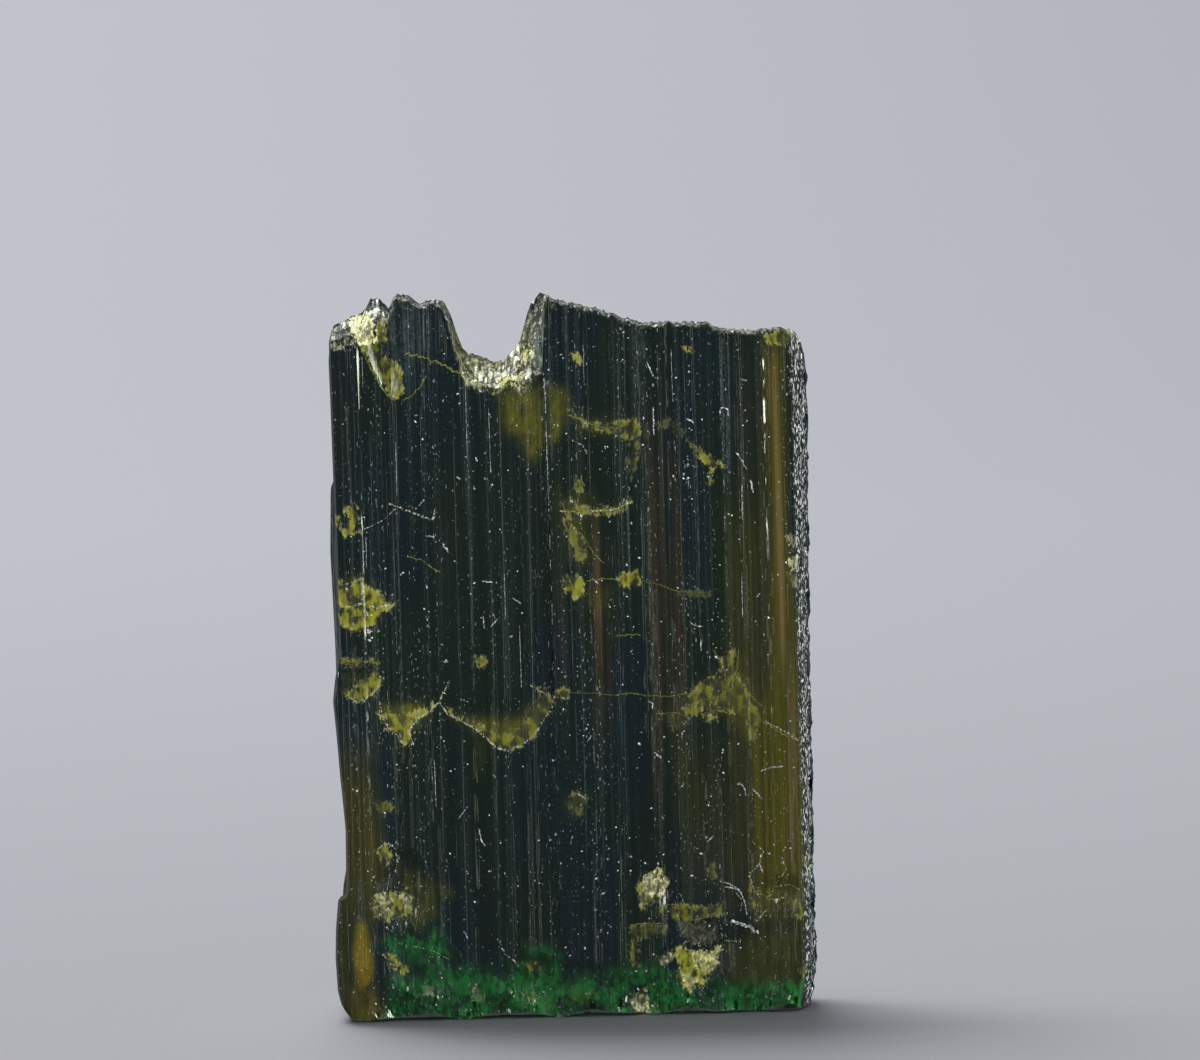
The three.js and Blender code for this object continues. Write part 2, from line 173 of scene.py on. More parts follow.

# Olive and yellow cracks, painted as if they lay just behind the front face, with the light
# that they catch from behind painted in as colour and glow: glow, outline
VEILS = [
    (0.9, [(-8.0, 27.75), (-7.2, 27.9), (-6.85, 27.0), (-6.45, 26.8), (-6.15, 26.2),
           (-6.15, 25.6), (-6.4, 25.25), (-6.75, 25.5), (-7.1, 26.2), (-7.5, 27.0)]),
    (0.8, [(-7.0, 28.6), (-6.75, 28.4), (-6.8, 27.2), (-7.2, 27.8)]),
    (1.0, [(-8.6, 20.95), (-8.2, 21.15), (-8.05, 20.6), (-8.2, 20.15), (-8.0, 19.95),
           (-8.7, 19.85), (-8.75, 20.2), (-8.45, 20.4)]),
    (0.7, [(-9.0, 20.7), (-8.75, 20.5), (-8.85, 20.2), (-9.0, 20.3)]),
    (1.05, [(-9.0, 18.1), (-8.5, 17.85), (-8.1, 18.25), (-7.9, 17.8), (-7.4, 17.6),
            (-7.0, 17.2), (-6.6, 17.05), (-7.2, 16.8), (-7.5, 16.3), (-7.9, 16.2),
            (-8.2, 15.9), (-8.9, 16.4), (-9.0, 16.7), (-8.8, 17.0), (-9.0, 17.4)]),
    (0.42, [(-8.95, 14.92), (-7.4, 14.89), (-7.35, 14.68), (-8.9, 14.6)]),
    (0.8, [(-8.0, 14.1), (-7.35, 14.4), (-7.3, 14.1), (-7.5, 13.7), (-7.9, 13.35),
           (-8.3, 13.15), (-8.7, 13.35), (-8.75, 13.6), (-8.4, 13.8)]),
    (0.95, [(-7.5, 12.8), (-7.35, 12.5), (-7.15, 12.1), (-6.8, 11.9), (-6.5, 11.45),
            (-6.15, 11.4), (-6.3, 12.0), (-6.0, 12.35), (-5.35, 12.85), (-5.1, 13.2),
            (-5.7, 12.85), (-6.4, 12.6), (-7.0, 12.7)]),
    (0.62, [(-5.0, 13.05), (-4.75, 12.65), (-4.0, 12.2), (-3.5, 11.9), (-3.1, 11.5),
            (-2.8, 11.2), (-2.3, 11.05), (-1.8, 11.25), (-1.3, 11.65), (-0.9, 12.2),
            (-0.5, 12.8), (-0.45, 13.15), (-0.85, 13.4), (-1.25, 12.7), (-1.7, 12.1),
            (-2.3, 11.8), (-2.9, 11.85), (-3.5, 12.2), (-4.3, 12.5)]),
    (0.7, [(-1.4, 13.7), (-0.8, 13.6), (-0.4, 13.3), (-0.9, 13.25)]),
    (0.5, [(-0.5, 13.4), (0.0, 13.58), (0.25, 13.2), (-0.3, 13.1)]),
    (0.6, [(-3.65, 14.88), (-3.2, 14.83), (-3.05, 14.58), (-3.4, 14.45)]),
    (0.62, [(0.3, 24.9), (1.1, 24.2), (2.0, 24.15), (2.4, 24.15), (3.1, 24.25), (3.35, 23.8),
            (3.15, 23.4), (2.5, 23.6), (1.8, 23.75), (1.0, 24.0)]),
    (0.35, [(2.85, 23.4), (3.2, 23.3), (3.1, 22.4), (2.88, 21.8), (2.75, 22.3)]),
    (0.3, [(3.8, 23.85), (4.4, 24.2), (4.9, 23.95), (5.25, 23.4), (4.9, 23.6), (4.4, 23.9)]),
    (0.8, [(5.2, 23.35), (5.6, 23.05), (6.0, 22.75), (6.4, 22.45), (6.7, 22.2), (6.1, 22.12),
           (5.8, 22.4), (5.55, 22.75)]),
    (0.4, [(5.9, 21.95), (6.15, 21.8), (6.0, 21.5)]),
    (0.5, [(0.6, 22.0), (0.95, 21.8), (0.9, 21.4), (0.6, 21.4)]),
    (0.6, [(0.1, 20.95), (0.5, 21.25), (0.6, 20.8), (1.6, 20.8), (2.2, 20.8), (2.9, 21.05),
           (2.9, 20.82), (2.2, 20.45), (1.4, 20.45), (0.6, 20.5), (0.4, 20.3), (0.15, 20.5)]),
    (0.5, [(0.1, 20.3), (0.35, 20.2), (0.9, 19.5), (1.0, 18.8), (0.6, 18.5), (0.5, 19.2),
           (0.2, 19.8)]),
    (0.95, [(0.0, 18.0), (0.5, 18.15), (0.9, 17.9), (0.9, 17.3), (0.5, 17.1), (0.1, 17.4)]),
    (0.9, [(2.2, 18.0), (3.0, 18.18), (3.3, 17.8), (3.0, 17.52), (2.3, 17.58)]),
    (0.25, [(4.5, 17.4), (5.2, 17.38), (5.9, 17.33), (5.9, 17.08), (5.2, 17.03),
            (4.6, 17.12)]),
    (0.4, [(0.1, 9.2), (0.4, 9.4), (0.8, 9.1), (0.5, 8.4), (0.1, 8.5)]),
    (0.6, [(5.1, 13.3), (5.6, 13.75), (6.2, 13.85), (6.3, 14.6), (6.8, 14.9), (6.9, 13.9),
           (7.3, 13.2), (7.5, 12.7), (8.0, 12.4), (7.9, 12.0), (7.6, 11.4), (7.4, 11.1),
           (7.3, 11.9), (7.0, 12.25), (6.3, 12.45), (6.1, 12.8), (5.7, 12.7), (5.4, 12.4),
           (5.0, 12.2), (4.6, 12.4), (4.8, 12.8)]),
    (0.4, [(3.9, 12.38), (4.6, 12.42), (4.9, 12.1), (4.3, 11.75), (4.1, 12.1)]),
    (0.75, [(5.5, 12.32), (6.2, 12.3), (6.1, 12.08), (5.6, 12.08)]),
    (1.4, [(-2.55, 26.15), (-2.0, 26.05), (-1.4, 26.2), (-1.35, 25.9), (-1.9, 25.7),
           (-2.4, 25.8)]),
    (1.2, [(-1.45, 27.2), (-1.0, 27.25), (-0.9, 26.85), (-1.3, 26.7)]),
    (1.0, [(0.6, 26.88), (0.9, 26.93), (0.98, 26.58), (0.68, 26.55)]),
    (0.8, [(5.1, 27.08), (5.55, 27.0), (5.5, 26.88), (5.2, 26.93)]),
    (0.8, [(8.3, 27.5), (9.4, 27.7), (9.6, 27.3), (9.2, 27.1), (8.5, 27.1)]),
    (0.4, [(-7.9, 9.2), (-7.2, 9.15), (-6.8, 8.8), (-7.4, 8.6)]),
    (0.75, [(-7.75, 7.2), (-7.35, 7.5), (-7.15, 6.9), (-7.4, 6.5)]),
    (0.7, [(-7.6, 3.0), (-7.2, 2.95), (-6.55, 2.3), (-6.7, 2.1), (-7.2, 2.48)]),
    (0.7, [(-1.95, 2.48), (-1.2, 2.43), (-1.0, 2.1), (-1.7, 2.17)]),
    (0.55, [(-2.1, 1.3), (-1.6, 1.35), (-1.4, 0.9), (-1.9, 0.9)]),
    (0.5, [(3.6, 4.65), (4.5, 4.7), (5.4, 4.6), (6.1, 4.75), (6.2, 4.3), (5.5, 4.15),
           (4.4, 4.1), (3.7, 4.3)]),
    (0.4, [(2.35, 3.95), (3.8, 3.95), (3.8, 3.6), (3.3, 3.4), (2.7, 3.4), (2.67, 2.3),
           (2.38, 2.3), (2.35, 3.3)]),
    (0.35, [(5.5, 6.3), (5.85, 6.4), (5.9, 5.7), (5.6, 5.6)]),
    (1.4, [(3.95, 2.75), (4.4, 3.0), (4.9, 2.7), (5.9, 2.95), (5.85, 2.2), (5.4, 1.9),
           (5.2, 1.4), (4.6, 1.15), (4.2, 1.8), (4.4, 2.3)]),
    (0.75, [(2.7, 5.5), (3.2, 6.1), (3.7, 6.15), (3.95, 5.6), (3.5, 4.9), (2.8, 4.6)]),
    (0.6, [(-7.9, 5.3), (-7.3, 5.5), (-6.9, 5.35), (-6.5, 5.7), (-6.3, 5.2), (-6.4, 4.6),
           (-7.1, 4.4), (-7.5, 4.15), (-7.9, 4.6)]),
    (0.55, [(8.6, 5.0), (9.0, 4.9), (9.5, 4.2), (9.2, 4.0), (8.8, 4.4)]),
    (0.45, [(7.2, 5.5), (7.5, 5.2), (7.9, 5.2), (7.9, 4.7), (7.3, 4.5)]),
    (0.5, [(9.1, 2.2), (9.5, 2.2), (9.4, 1.6), (9.1, 1.8)]),
]

# Cream and white crystalline breaks, which also get a painted glow: whiteness, outline
PALES = [
    (1.4, [(-8.35, 28.75), (-7.5, 28.8), (-7.25, 28.2), (-7.2, 27.6), (-7.75, 27.5),
           (-8.1, 27.7)]),
    (0.45, [(-8.9, 27.6), (-8.0, 27.72), (-7.9, 27.6), (-8.5, 27.4), (-8.8, 27.35)]),
    (0.6, [(-7.75, 5.3), (-7.45, 5.5), (-7.2, 5.2), (-7.3, 4.6), (-7.5, 4.3), (-7.7, 4.7)]),
    (0.5, [(-6.9, 5.4), (-6.5, 5.5), (-6.4, 5.0), (-6.65, 4.85)]),
    (0.95, [(3.05, 5.95), (3.6, 6.1), (3.9, 5.6), (3.7, 5.15), (3.3, 5.1), (2.95, 5.4)]),
    (0.8, [(4.9, 2.75), (5.5, 2.7), (5.95, 3.0), (5.85, 2.3), (5.3, 2.0), (4.9, 2.2)]),
    (0.5, [(4.4, 1.9), (4.9, 1.9), (5.0, 1.4), (4.6, 1.2)]),
    (0.5, [(3.5, 2.6), (3.8, 2.8), (4.0, 2.5), (3.7, 2.3)]),
    (0.65, [(2.5, 1.2), (2.9, 1.3), (3.1, 0.6), (2.9, 0.2), (2.5, 0.3), (2.4, 0.7)]),
    (0.6, [(9.0, 19.4), (9.5, 19.3), (9.4, 18.9), (9.1, 19.0)]),
    (0.8, [(9.1, 18.5), (9.8, 18.7), (10.0, 18.2), (9.3, 18.0)]),
    (0.45, [(9.1, 17.9), (9.6, 17.5), (9.5, 17.2), (9.1, 17.5)]),
    (0.35, [(-4.1, 1.6), (-3.7, 1.6), (-3.6, 1.1), (-4.0, 1.0)]),
    (0.35, [(-6.0, 1.7), (-5.6, 1.6), (-5.6, 1.3), (-5.9, 1.3)]),
    (0.2, [(4.4, 3.95), (5.8, 3.9), (5.9, 3.3), (5.3, 3.0), (4.6, 3.2)]),
]

# Broad soft stains, some of them painted light (the glow of the haze, the green light in the
# foot, pale reflection streaks on the left facet): kind, strength, softness, outline
STAINS = [
    ("haze_and_glow", 0.5, 0.5, [(-2.4, 25.6), (-0.5, 25.7), (-0.5, 23.2), (-0.9, 22.6), (-1.3, 22.7),
                        (-1.6, 23.6), (-2.2, 23.8)]),
    ("haze_and_glow", 0.5, 0.35, [(-0.4, 25.8), (0.35, 25.6), (0.6, 25.0), (0.3, 24.0), (0.0, 23.4),
                         (-0.4, 23.3)]),
    ("haze_and_glow", 0.3, 0.4, [(0.4, 25.0), (1.2, 24.4), (3.3, 24.4), (3.4, 23.6), (0.8, 23.6)]),
    ("haze_and_glow", 0.55, 0.35, [(-7.5, 13.1), (-7.1, 12.1), (-6.3, 11.7), (-5.3, 12.9), (-6.2, 13.1)]),
    ("haze_and_glow", 0.5, 0.45, [(-4.6, 12.6), (-3.2, 11.6), (-2.3, 11.2), (-1.2, 11.8), (-0.5, 12.9),
                         (-1.2, 13.2), (-2.0, 12.4), (-3.4, 12.5)]),
    ("haze_and_glow", 0.25, 0.25, [(-3.7, 11.7), (-3.1, 11.5), (-3.2, 10.8), (-3.5, 10.0), (-3.7, 10.6)]),
    ("haze_and_glow", 0.3, 0.4, [(-9.0, 18.2), (-8.0, 18.3), (-6.9, 17.1), (-8.0, 15.9), (-9.0, 16.3)]),
    ("haze_and_glow", 0.25, 0.35, [(-8.9, 14.4), (-7.4, 14.4), (-7.5, 13.6), (-8.4, 13.1), (-8.9, 13.6)]),
    ("haze_and_glow", 0.28, 0.35, [(0.9, 17.6), (2.0, 17.6), (2.0, 16.8), (1.4, 16.4), (0.8, 16.8)]),
    ("haze_and_glow", 0.3, 0.5, [(-0.2, 21.4), (1.3, 21.4), (1.2, 18.3), (0.2, 18.5)]),
    ("haze_and_glow", 0.4, 0.5, [(4.4, 12.6), (5.8, 13.9), (7.1, 14.6), (7.9, 12.6), (7.4, 11.0),
                        (6.4, 12.3)]),
    ("haze_and_glow", 0.3, 0.3, [(-0.2, 9.0), (0.4, 9.4), (0.8, 9.1), (0.5, 8.4), (0.1, 8.1)]),
    ("haze_and_glow", 0.3, 0.4, [(-7.0, 7.3), (-6.6, 6.5), (-5.3, 5.9), (-5.2, 4.4), (-6.2, 3.9),
                        (-7.0, 4.2), (-6.9, 5.6)]),
    ("haze_and_glow", 0.3, 0.25, [(-5.4, 5.9), (-4.7, 5.7), (-4.6, 5.2), (-5.2, 5.05)]),
    ("haze_and_glow", 0.35, 0.25, [(-8.8, 1.2), (-8.3, 1.0), (-7.5, 0.3), (-8.9, 0.25)]),
    ("haze_and_glow", 0.35, 0.4, [(6.9, 5.6), (9.4, 5.2), (9.3, 3.9), (7.4, 4.2)]),
    ("haze_and_glow", 0.35, 0.35, [(0.0, 1.3), (1.2, 1.3), (0.8, 0.9), (0.0, 0.8)]),
    ("haze_and_glow", 0.25, 0.4, [(5.9, 3.2), (9.3, 3.6), (9.3, 1.2), (6.2, 1.4)]),
    ("olive", 0.9, 0.25, [(8.3, 27.0), (9.05, 27.0), (9.1, 20.0), (9.3, 16.0), (9.4, 5.0),
                          (7.5, 5.0), (7.35, 11.8), (8.1, 13.5), (8.2, 17.0), (8.35, 20.0)]),
    ("olive", 0.4, 0.5, [(6.6, 20.0), (8.3, 21.0), (8.2, 5.0), (6.4, 5.0)]),
    ("olive", 0.3, 0.3, [(7.3, 5.0), (9.3, 5.0), (9.4, 1.0), (6.6, 1.0)]),
    ("olive", 0.55, 0.4, [(-9.0, 11.0), (-7.9, 10.5), (-7.5, 8.0), (-7.4, 6.2), (-8.0, 4.0),
                          (-9.4, 4.4)]),
    ("olive", 0.35, 0.4, [(-9.3, 5.4), (-8.8, 5.4), (-8.8, 0.3), (-9.4, 0.3)]),
    ("olive", 0.2, 0.5, [(4.6, 11.0), (7.0, 11.0), (7.0, 5.0), (4.6, 5.0)]),
    # Tan lines in the olive band; they also get a painted glow of light from behind
    ("tan", 0.65, 0.1, [(8.58, 26.0), (8.82, 26.0), (8.92, 14.5), (8.68, 14.5)]),
    ("tan", 0.35, 0.14, [(8.9, 13.0), (9.2, 13.0), (9.15, 7.0), (8.8, 7.0)]),
    ("tan", 0.3, 0.1, [(1.3, 20.0), (1.55, 20.0), (1.55, 16.0), (1.3, 16.0)]),
    ("brown", 1.0, 0.25, [(3.55, 23.0), (4.75, 23.0), (4.8, 9.5), (3.5, 9.5)]),
    ("brown", 0.8, 0.2, [(1.15, 19.0), (1.85, 19.0), (1.85, 12.0), (1.15, 12.0)]),
    ("brown", 0.6, 0.3, [(7.1, 26.0), (8.3, 26.0), (8.3, 22.0), (7.1, 22.0)]),
    ("brown", 0.45, 0.3, [(-0.3, 19.0), (0.1, 19.0), (0.1, 14.0), (-0.3, 14.0)]),
    ("brown", 0.4, 0.3, [(-9.0, 25.5), (-8.4, 25.5), (-8.3, 22.5), (-9.0, 22.5)]),
    ("brown", 0.3, 0.3, [(-4.9, 21.0), (-4.1, 21.0), (-4.1, 19.5), (-4.9, 19.5)]),
    ("blue", 1.0, 0.15, [(6.5, 27.4), (7.0, 27.4), (6.9, 22.0), (6.6, 22.0)]),
    ("blue", 0.55, 0.3, [(3.05, 28.0), (3.4, 28.0), (3.4, 25.0), (3.1, 25.0)]),
    ("blue", 0.7, 0.15, [(-8.5, 6.0), (-8.15, 6.0), (-8.2, 4.0), (-8.6, 4.0)]),
    ("blue", 0.9, 0.4, [(-6.6, 28.8), (-5.0, 28.8), (-4.9, 26.9), (-6.5, 27.2)]),
    # Pale streaks on the left facet: a painted reflection
    ("blue", 1.0, 0.08, [(-9.5, 21.5), (-9.05, 21.5), (-9.0, 11.0), (-9.4, 11.0)]),
    ("blue", 0.6, 0.2, [(-8.9, 12.9), (-7.8, 12.9), (-7.7, 11.0), (-8.9, 11.0)]),
    ("amber", 1.0, 0.18, [(-8.55, 4.3), (-8.3, 4.3), (-8.1, 3.5), (-8.0, 2.2), (-8.15, 1.8),
                          (-8.6, 1.5), (-8.7, 2.4), (-8.75, 3.2)]),
    ("amber", 0.35, 0.3, [(-8.9, 1.7), (-7.9, 1.8), (-7.6, 0.3), (-9.0, 0.3)]),
    # Green: painted green light in the foot, from a green holder that the model leaves out
    ("green", 0.9, 0.4, [(-7.6, 3.7), (-5.4, 3.9), (-4.8, 2.9), (-5.4, 2.4), (-7.2, 2.9)]),
    ("green", 1.2, 0.5, [(-7.2, 1.9), (-5.0, 2.3), (-2.6, 2.2), (-0.6, 2.6), (-0.4, 0.0),
                         (-7.4, 0.0)]),
    ("green", 1.2, 0.5, [(-0.5, 1.6), (3.0, 2.2), (5.5, 1.4), (6.0, 0.0), (-0.5, 0.0)]),
    ("green", 1.6, 0.5, [(6.0, 1.4), (9.6, 1.4), (9.8, 0.0), (6.0, 0.0)]),
    ("green", 0.7, 0.3, [(-1.8, 3.2), (-0.7, 3.1), (-0.6, 2.5), (-1.6, 2.7)]),
]
# Kinds of stain, and how much shorter their outlines count along the crystal, so that the
# ends of a long band fade slowly
STAIN_KINDS = {
    "haze_and_glow": 1, "olive": 0.2, "brown": 0.08, "tan": 0.05, "blue": 0.15, "amber": 1, "green": 0.8,
}

# White crinkled rims of cracks: thickness, path
RIMS = [
    (0.036, [(-6.15, 11.4), (-6.3, 12.0), (-6.0, 12.35), (-5.35, 12.85), (-5.05, 13.1),
             (-4.8, 13.6), (-4.6, 13.95)]),
    (0.022, [(-7.45, 13.2), (-7.3, 12.5), (-7.1, 12.05), (-6.8, 11.85), (-6.5, 11.42)]),
    (0.034, [(-5.05, 13.1), (-4.75, 12.65), (-4.0, 12.2), (-3.5, 11.9), (-3.1, 11.5),
             (-2.8, 11.2), (-2.3, 11.05), (-1.8, 11.25), (-1.3, 11.65), (-0.9, 12.2),
             (-0.5, 12.8), (-0.45, 13.15)]),
    (0.03, [(-1.35, 13.65), (-0.9, 13.4), (-0.45, 13.2), (0.2, 13.1)]),
    (0.03, [(-8.7, 13.4), (-8.3, 13.15), (-7.9, 13.35), (-7.5, 13.7), (-7.35, 14.2)]),
    (0.036, [(-6.85, 21.1), (-6.2, 20.85), (-5.6, 20.6), (-5.1, 20.4), (-5.0, 20.9)]),
    (0.024, [(-8.1, 20.05), (-7.6, 20.2), (-7.0, 20.5), (-6.6, 20.9)]),
    (0.03, [(-5.8, 20.85), (-5.4, 21.25)]),
    (0.05, [(-8.0, 18.2), (-7.95, 17.3), (-7.85, 16.5), (-7.75, 15.6)]),
    (0.035, [(-8.7, 17.0), (-8.3, 17.05), (-7.9, 17.2)]),
    (0.04, [(-7.9, 17.0), (-7.4, 16.95), (-6.9, 17.05)]),
    (0.03, [(-7.0, 7.3), (-6.9, 6.8), (-7.0, 6.2)]),
    (0.03, [(-7.6, 7.3), (-7.3, 7.5), (-7.0, 7.3)]),
    (0.03, [(0.5, 23.5), (1.0, 23.2), (1.15, 22.9)]),
    (0.03, [(0.0, 20.62), (1.5, 20.6), (2.2, 20.65), (2.9, 20.95)]),
    (0.03, [(6.0, 3.9), (6.1, 3.2), (6.8, 3.15)]),
    (0.05, [(8.0, 4.85), (8.3, 4.75), (8.6, 4.9)]),
    (0.03, [(7.2, 5.8), (7.4, 5.2), (7.6, 4.9)]),
    (0.025, [(7.9, 4.4), (7.4, 3.95)]),
    (0.02, [(7.3, 7.2), (7.8, 6.8), (7.6, 6.2), (7.2, 5.9)]),
    (0.02, [(8.9, 7.3), (8.5, 6.6), (8.7, 6.0), (8.3, 5.5), (8.0, 4.9)]),
    (0.02, [(9.2, 5.2), (8.8, 5.4), (8.3, 5.3)]),
    (0.022, [(6.0, 5.6), (6.4, 5.5), (6.9, 4.8), (6.8, 4.3)]),
    (0.02, [(4.3, 2.9), (4.6, 3.2), (5.1, 3.1), (5.5, 3.4)]),
    (0.02, [(5.9, 2.6), (5.6, 1.9), (5.2, 1.2), (4.7, 0.9)]),
    (0.018, [(-7.4, 7.2), (-7.2, 6.3), (-7.35, 5.6)]),
    (0.018, [(-6.4, 3.3), (-5.6, 3.1), (-4.9, 2.7)]),
    (0.025, [(8.0, 12.0), (8.6, 11.65), (9.3, 11.2)]),
    (0.03, [(-2.0, 26.2), (-1.5, 26.45), (-1.0, 26.75)]),
    (0.035, [(-9.0, 27.5), (-8.8, 27.42), (-8.4, 27.45), (-7.95, 27.65)]),
    (0.03, [(-2.9, 3.4), (-2.7, 2.9), (-2.3, 2.6), (-2.1, 2.3)]),
]
# Thin lime lines, where cracks reach the face: thickness, path
LIME_LINES = [
    (0.022, [(0.2, 13.35), (1.2, 13.3), (2.0, 13.2)]),
    (0.022, [(3.25, 13.15), (4.2, 13.1), (5.1, 13.2)]),
    (0.028, [(3.6, 12.4), (4.4, 12.45), (5.0, 12.2)]),
    (0.02, [(3.2, 17.75), (4.0, 17.55), (4.6, 17.3), (5.9, 17.2)]),
    (0.03, [(5.0, 12.3), (5.4, 12.9), (6.1, 13.0), (6.8, 13.4)]),
    (0.028, [(6.0, 14.9), (6.4, 14.2), (6.5, 13.3), (7.0, 12.9)]),
    (0.03, [(7.0, 14.9), (6.9, 14.0), (7.3, 13.2), (7.9, 12.6)]),
    (0.03, [(7.3, 13.2), (7.35, 12.4), (7.45, 11.2)]),
    (0.035, [(5.4, 12.35), (6.0, 12.5), (6.6, 12.35)]),
    (0.028, [(0.1, 21.0), (0.3, 20.2), (0.9, 19.6), (1.3, 18.9), (1.7, 18.5)]),
    (0.024, [(0.9, 22.1), (0.8, 21.3), (0.6, 20.7)]),
    (0.03, [(0.15, 18.1), (0.5, 17.5), (0.9, 17.2)]),
    (0.065, [(-6.1, 27.1), (-5.5, 27.0), (-4.6, 26.65), (-3.9, 26.25), (-3.6, 26.1)]),
    (0.035, [(-6.2, 25.2), (-5.8, 25.4), (-5.45, 25.75), (-5.2, 26.2)]),
    (0.03, [(-6.2, 18.95), (-5.6, 18.85), (-5.2, 18.5), (-4.85, 18.3)]),
    (0.035, [(-8.95, 14.85), (-8.2, 14.8), (-7.4, 14.78)]),
    (0.03, [(2.1, 15.55), (2.6, 15.62), (3.1, 15.6)]),
    (0.035, [(2.0, 13.2), (2.6, 13.28), (3.25, 13.15)]),
    (0.035, [(7.9, 12.0), (8.5, 11.6), (9.0, 11.3), (9.35, 11.2)]),
    (0.03, [(0.9, 17.78), (1.6, 17.9), (2.2, 17.85)]),
    (0.045, [(0.0, 20.65), (0.8, 20.6), (1.5, 20.62), (2.2, 20.68), (2.9, 20.95)]),
    (0.03, [(0.4, 24.5), (1.0, 24.2), (1.7, 23.95), (2.6, 23.85)]),
    (0.03, [(5.1, 23.4), (5.6, 22.9), (6.1, 22.5), (6.6, 22.25)]),
    (0.03, [(0.1, 20.3), (0.3, 19.8), (0.7, 19.2), (0.95, 18.6)]),
    (0.03, [(2.35, 3.95), (3.0, 4.0), (3.8, 3.95)]),
    (0.03, [(3.6, 4.7), (4.4, 4.72), (4.9, 4.55), (5.4, 4.6)]),
    (0.045, [(4.5, 4.02), (5.0, 4.08), (5.43, 4.2), (5.8, 4.35), (6.25, 4.27)]),
    (0.03, [(2.45, 3.3), (2.5, 2.3)]),
    (0.035, [(-7.75, 27.3), (-7.3, 26.3), (-6.9, 25.6), (-6.5, 25.2)]),
    (0.035, [(-7.05, 28.0), (-6.95, 27.0), (-6.85, 26.0), (-6.6, 25.3)]),
    (0.03, [(8.7, 5.0), (9.1, 4.5), (9.5, 4.1)]),
    (0.03, [(7.24, 5.9), (7.19, 5.0), (7.36, 4.75)]),
    (0.03, [(-9.0, 17.3), (-8.3, 17.15), (-7.6, 17.05), (-7.0, 17.1)]),
    (0.03, [(-8.2, 18.1), (-8.0, 17.2), (-7.9, 16.3)]),
]
# Fibres and scratches that lie on the face: thickness, path
FIBRES = [
    (0.05, [(-0.53, 26.2), (-0.49, 25.7), (-0.46, 25.3)]),
    (0.09, [(6.42, 3.96), (6.75, 3.9), (7.15, 3.72), (7.5, 3.44)]),
    (0.03, [(6.3, 5.55), (6.83, 5.2), (7.0, 4.7), (7.07, 4.2)]),
    (0.025, [(-0.47, 25.4), (-0.45, 22.0)]),
    (0.016, [(-0.45, 22.0), (-0.42, 16.0)]),
    (0.022, [(-9.16, 21.4), (-9.11, 18.6), (-9.1, 15.6)]),
    (0.016, [(-9.05, 19.4), (-9.02, 16.2), (-9.05, 14.2)]),
    (0.013, [(-7.75, 27.0), (-7.75, 25.8)]),
    (0.015, [(-6.5, 23.6), (-6.5, 21.4)]),
    (0.013, [(-3.65, 25.9), (-3.65, 22.8)]),
    (0.015, [(-7.8, 19.8), (-7.8, 18.5)]),
    (0.012, [(-2.75, 24.8), (-2.73, 22.2)]),
    (0.013, [(-1.75, 16.1), (-1.73, 13.6)]),
    (0.012, [(-2.3, 18.2), (-2.29, 16.4)]),
    (0.02, [(7.3, 21.5), (7.28, 20.1)]),
    (0.014, [(7.2, 18.0), (7.2, 16.2)]),
    (0.012, [(4.6, 27.0), (4.62, 24.9)]),
    (0.012, [(1.1, 27.3), (1.1, 25.6)]),
    (0.013, [(-5.3, 10.8), (-5.28, 8.9)]),
    (0.035, [(3.6, 26.55), (3.75, 26.2), (3.87, 25.9)]),
    (0.03, [(3.83, 24.7), (3.83, 23.6)]),
    (0.04, [(6.5, 24.3), (6.5, 24.55), (6.65, 24.62), (6.8, 24.5), (6.85, 24.25)]),
    (0.045, [(7.3, 25.75), (7.6, 25.65)]),
    (0.045, [(5.15, 24.2), (5.45, 24.05)]),
    (0.035, [(7.1, 22.8), (7.3, 22.5), (7.5, 22.1)]),
    (0.05, [(7.65, 21.7), (7.75, 21.2)]),
    (0.04, [(7.8, 10.0), (8.2, 10.15), (8.7, 10.15)]),
    (0.04, [(7.4, 9.3), (7.7, 9.0), (7.8, 8.85)]),
    (0.055, [(3.55, 10.85), (3.8, 10.65)]),
    (0.09, [(-4.82, 14.75), (-4.62, 14.7)]),
    (0.045, [(-4.1, 22.1), (-3.9, 22.0)]),
    (0.045, [(-5.4, 19.8), (-5.0, 19.7)]),
    (0.05, [(-4.75, 19.45), (-4.5, 19.1)]),
    (0.035, [(-3.2, 17.9), (-2.75, 17.85)]),
    (0.035, [(-2.0, 17.2), (-1.65, 16.95)]),
    (0.03, [(-2.9, 16.05), (-2.6, 16.4)]),
    (0.03, [(-3.2, 16.5), (-3.15, 16.0)]),
    (0.03, [(-4.4, 8.4), (-4.1, 8.75)]),
    (0.03, [(-3.6, 8.0), (-3.5, 7.5), (-3.35, 7.25)]),
    (0.035, [(5.05, 16.05), (5.3, 15.9), (5.6, 15.85)]),
    (0.03, [(5.5, 15.4), (5.5, 14.9)]),
    (0.03, [(1.0, 11.6), (0.85, 11.35)]),
    (0.035, [(0.4, 9.3), (0.7, 9.05)]),
    (0.03, [(6.9, 9.6), (7.1, 9.3), (7.15, 9.0)]),
    (0.03, [(6.2, 5.4), (6.6, 5.3), (6.9, 5.1)]),
    (0.03, [(7.6, 6.3), (7.75, 5.9)]),
    (0.025, [(5.55, 7.2), (5.8, 7.45)]),
    (0.025, [(-4.3, 3.85), (-4.15, 3.55)]),
    (0.03, [(1.2, 17.9), (1.45, 17.7)]),
    (0.03, [(3.3, 12.95), (3.5, 12.85), (3.5, 12.6)]),
]


def smooth(value, low, high):
    """0 below low, 1 above high, with a soft turn between."""
    t = np.clip((value - low) / (high - low), 0, 1)
    return t * t * (3 - 2 * t)


def along(line, place):
    """Straight-line reading of a list of [place, value] pairs."""
    places, values = np.array(line).T
    return np.interp(place, places, values)


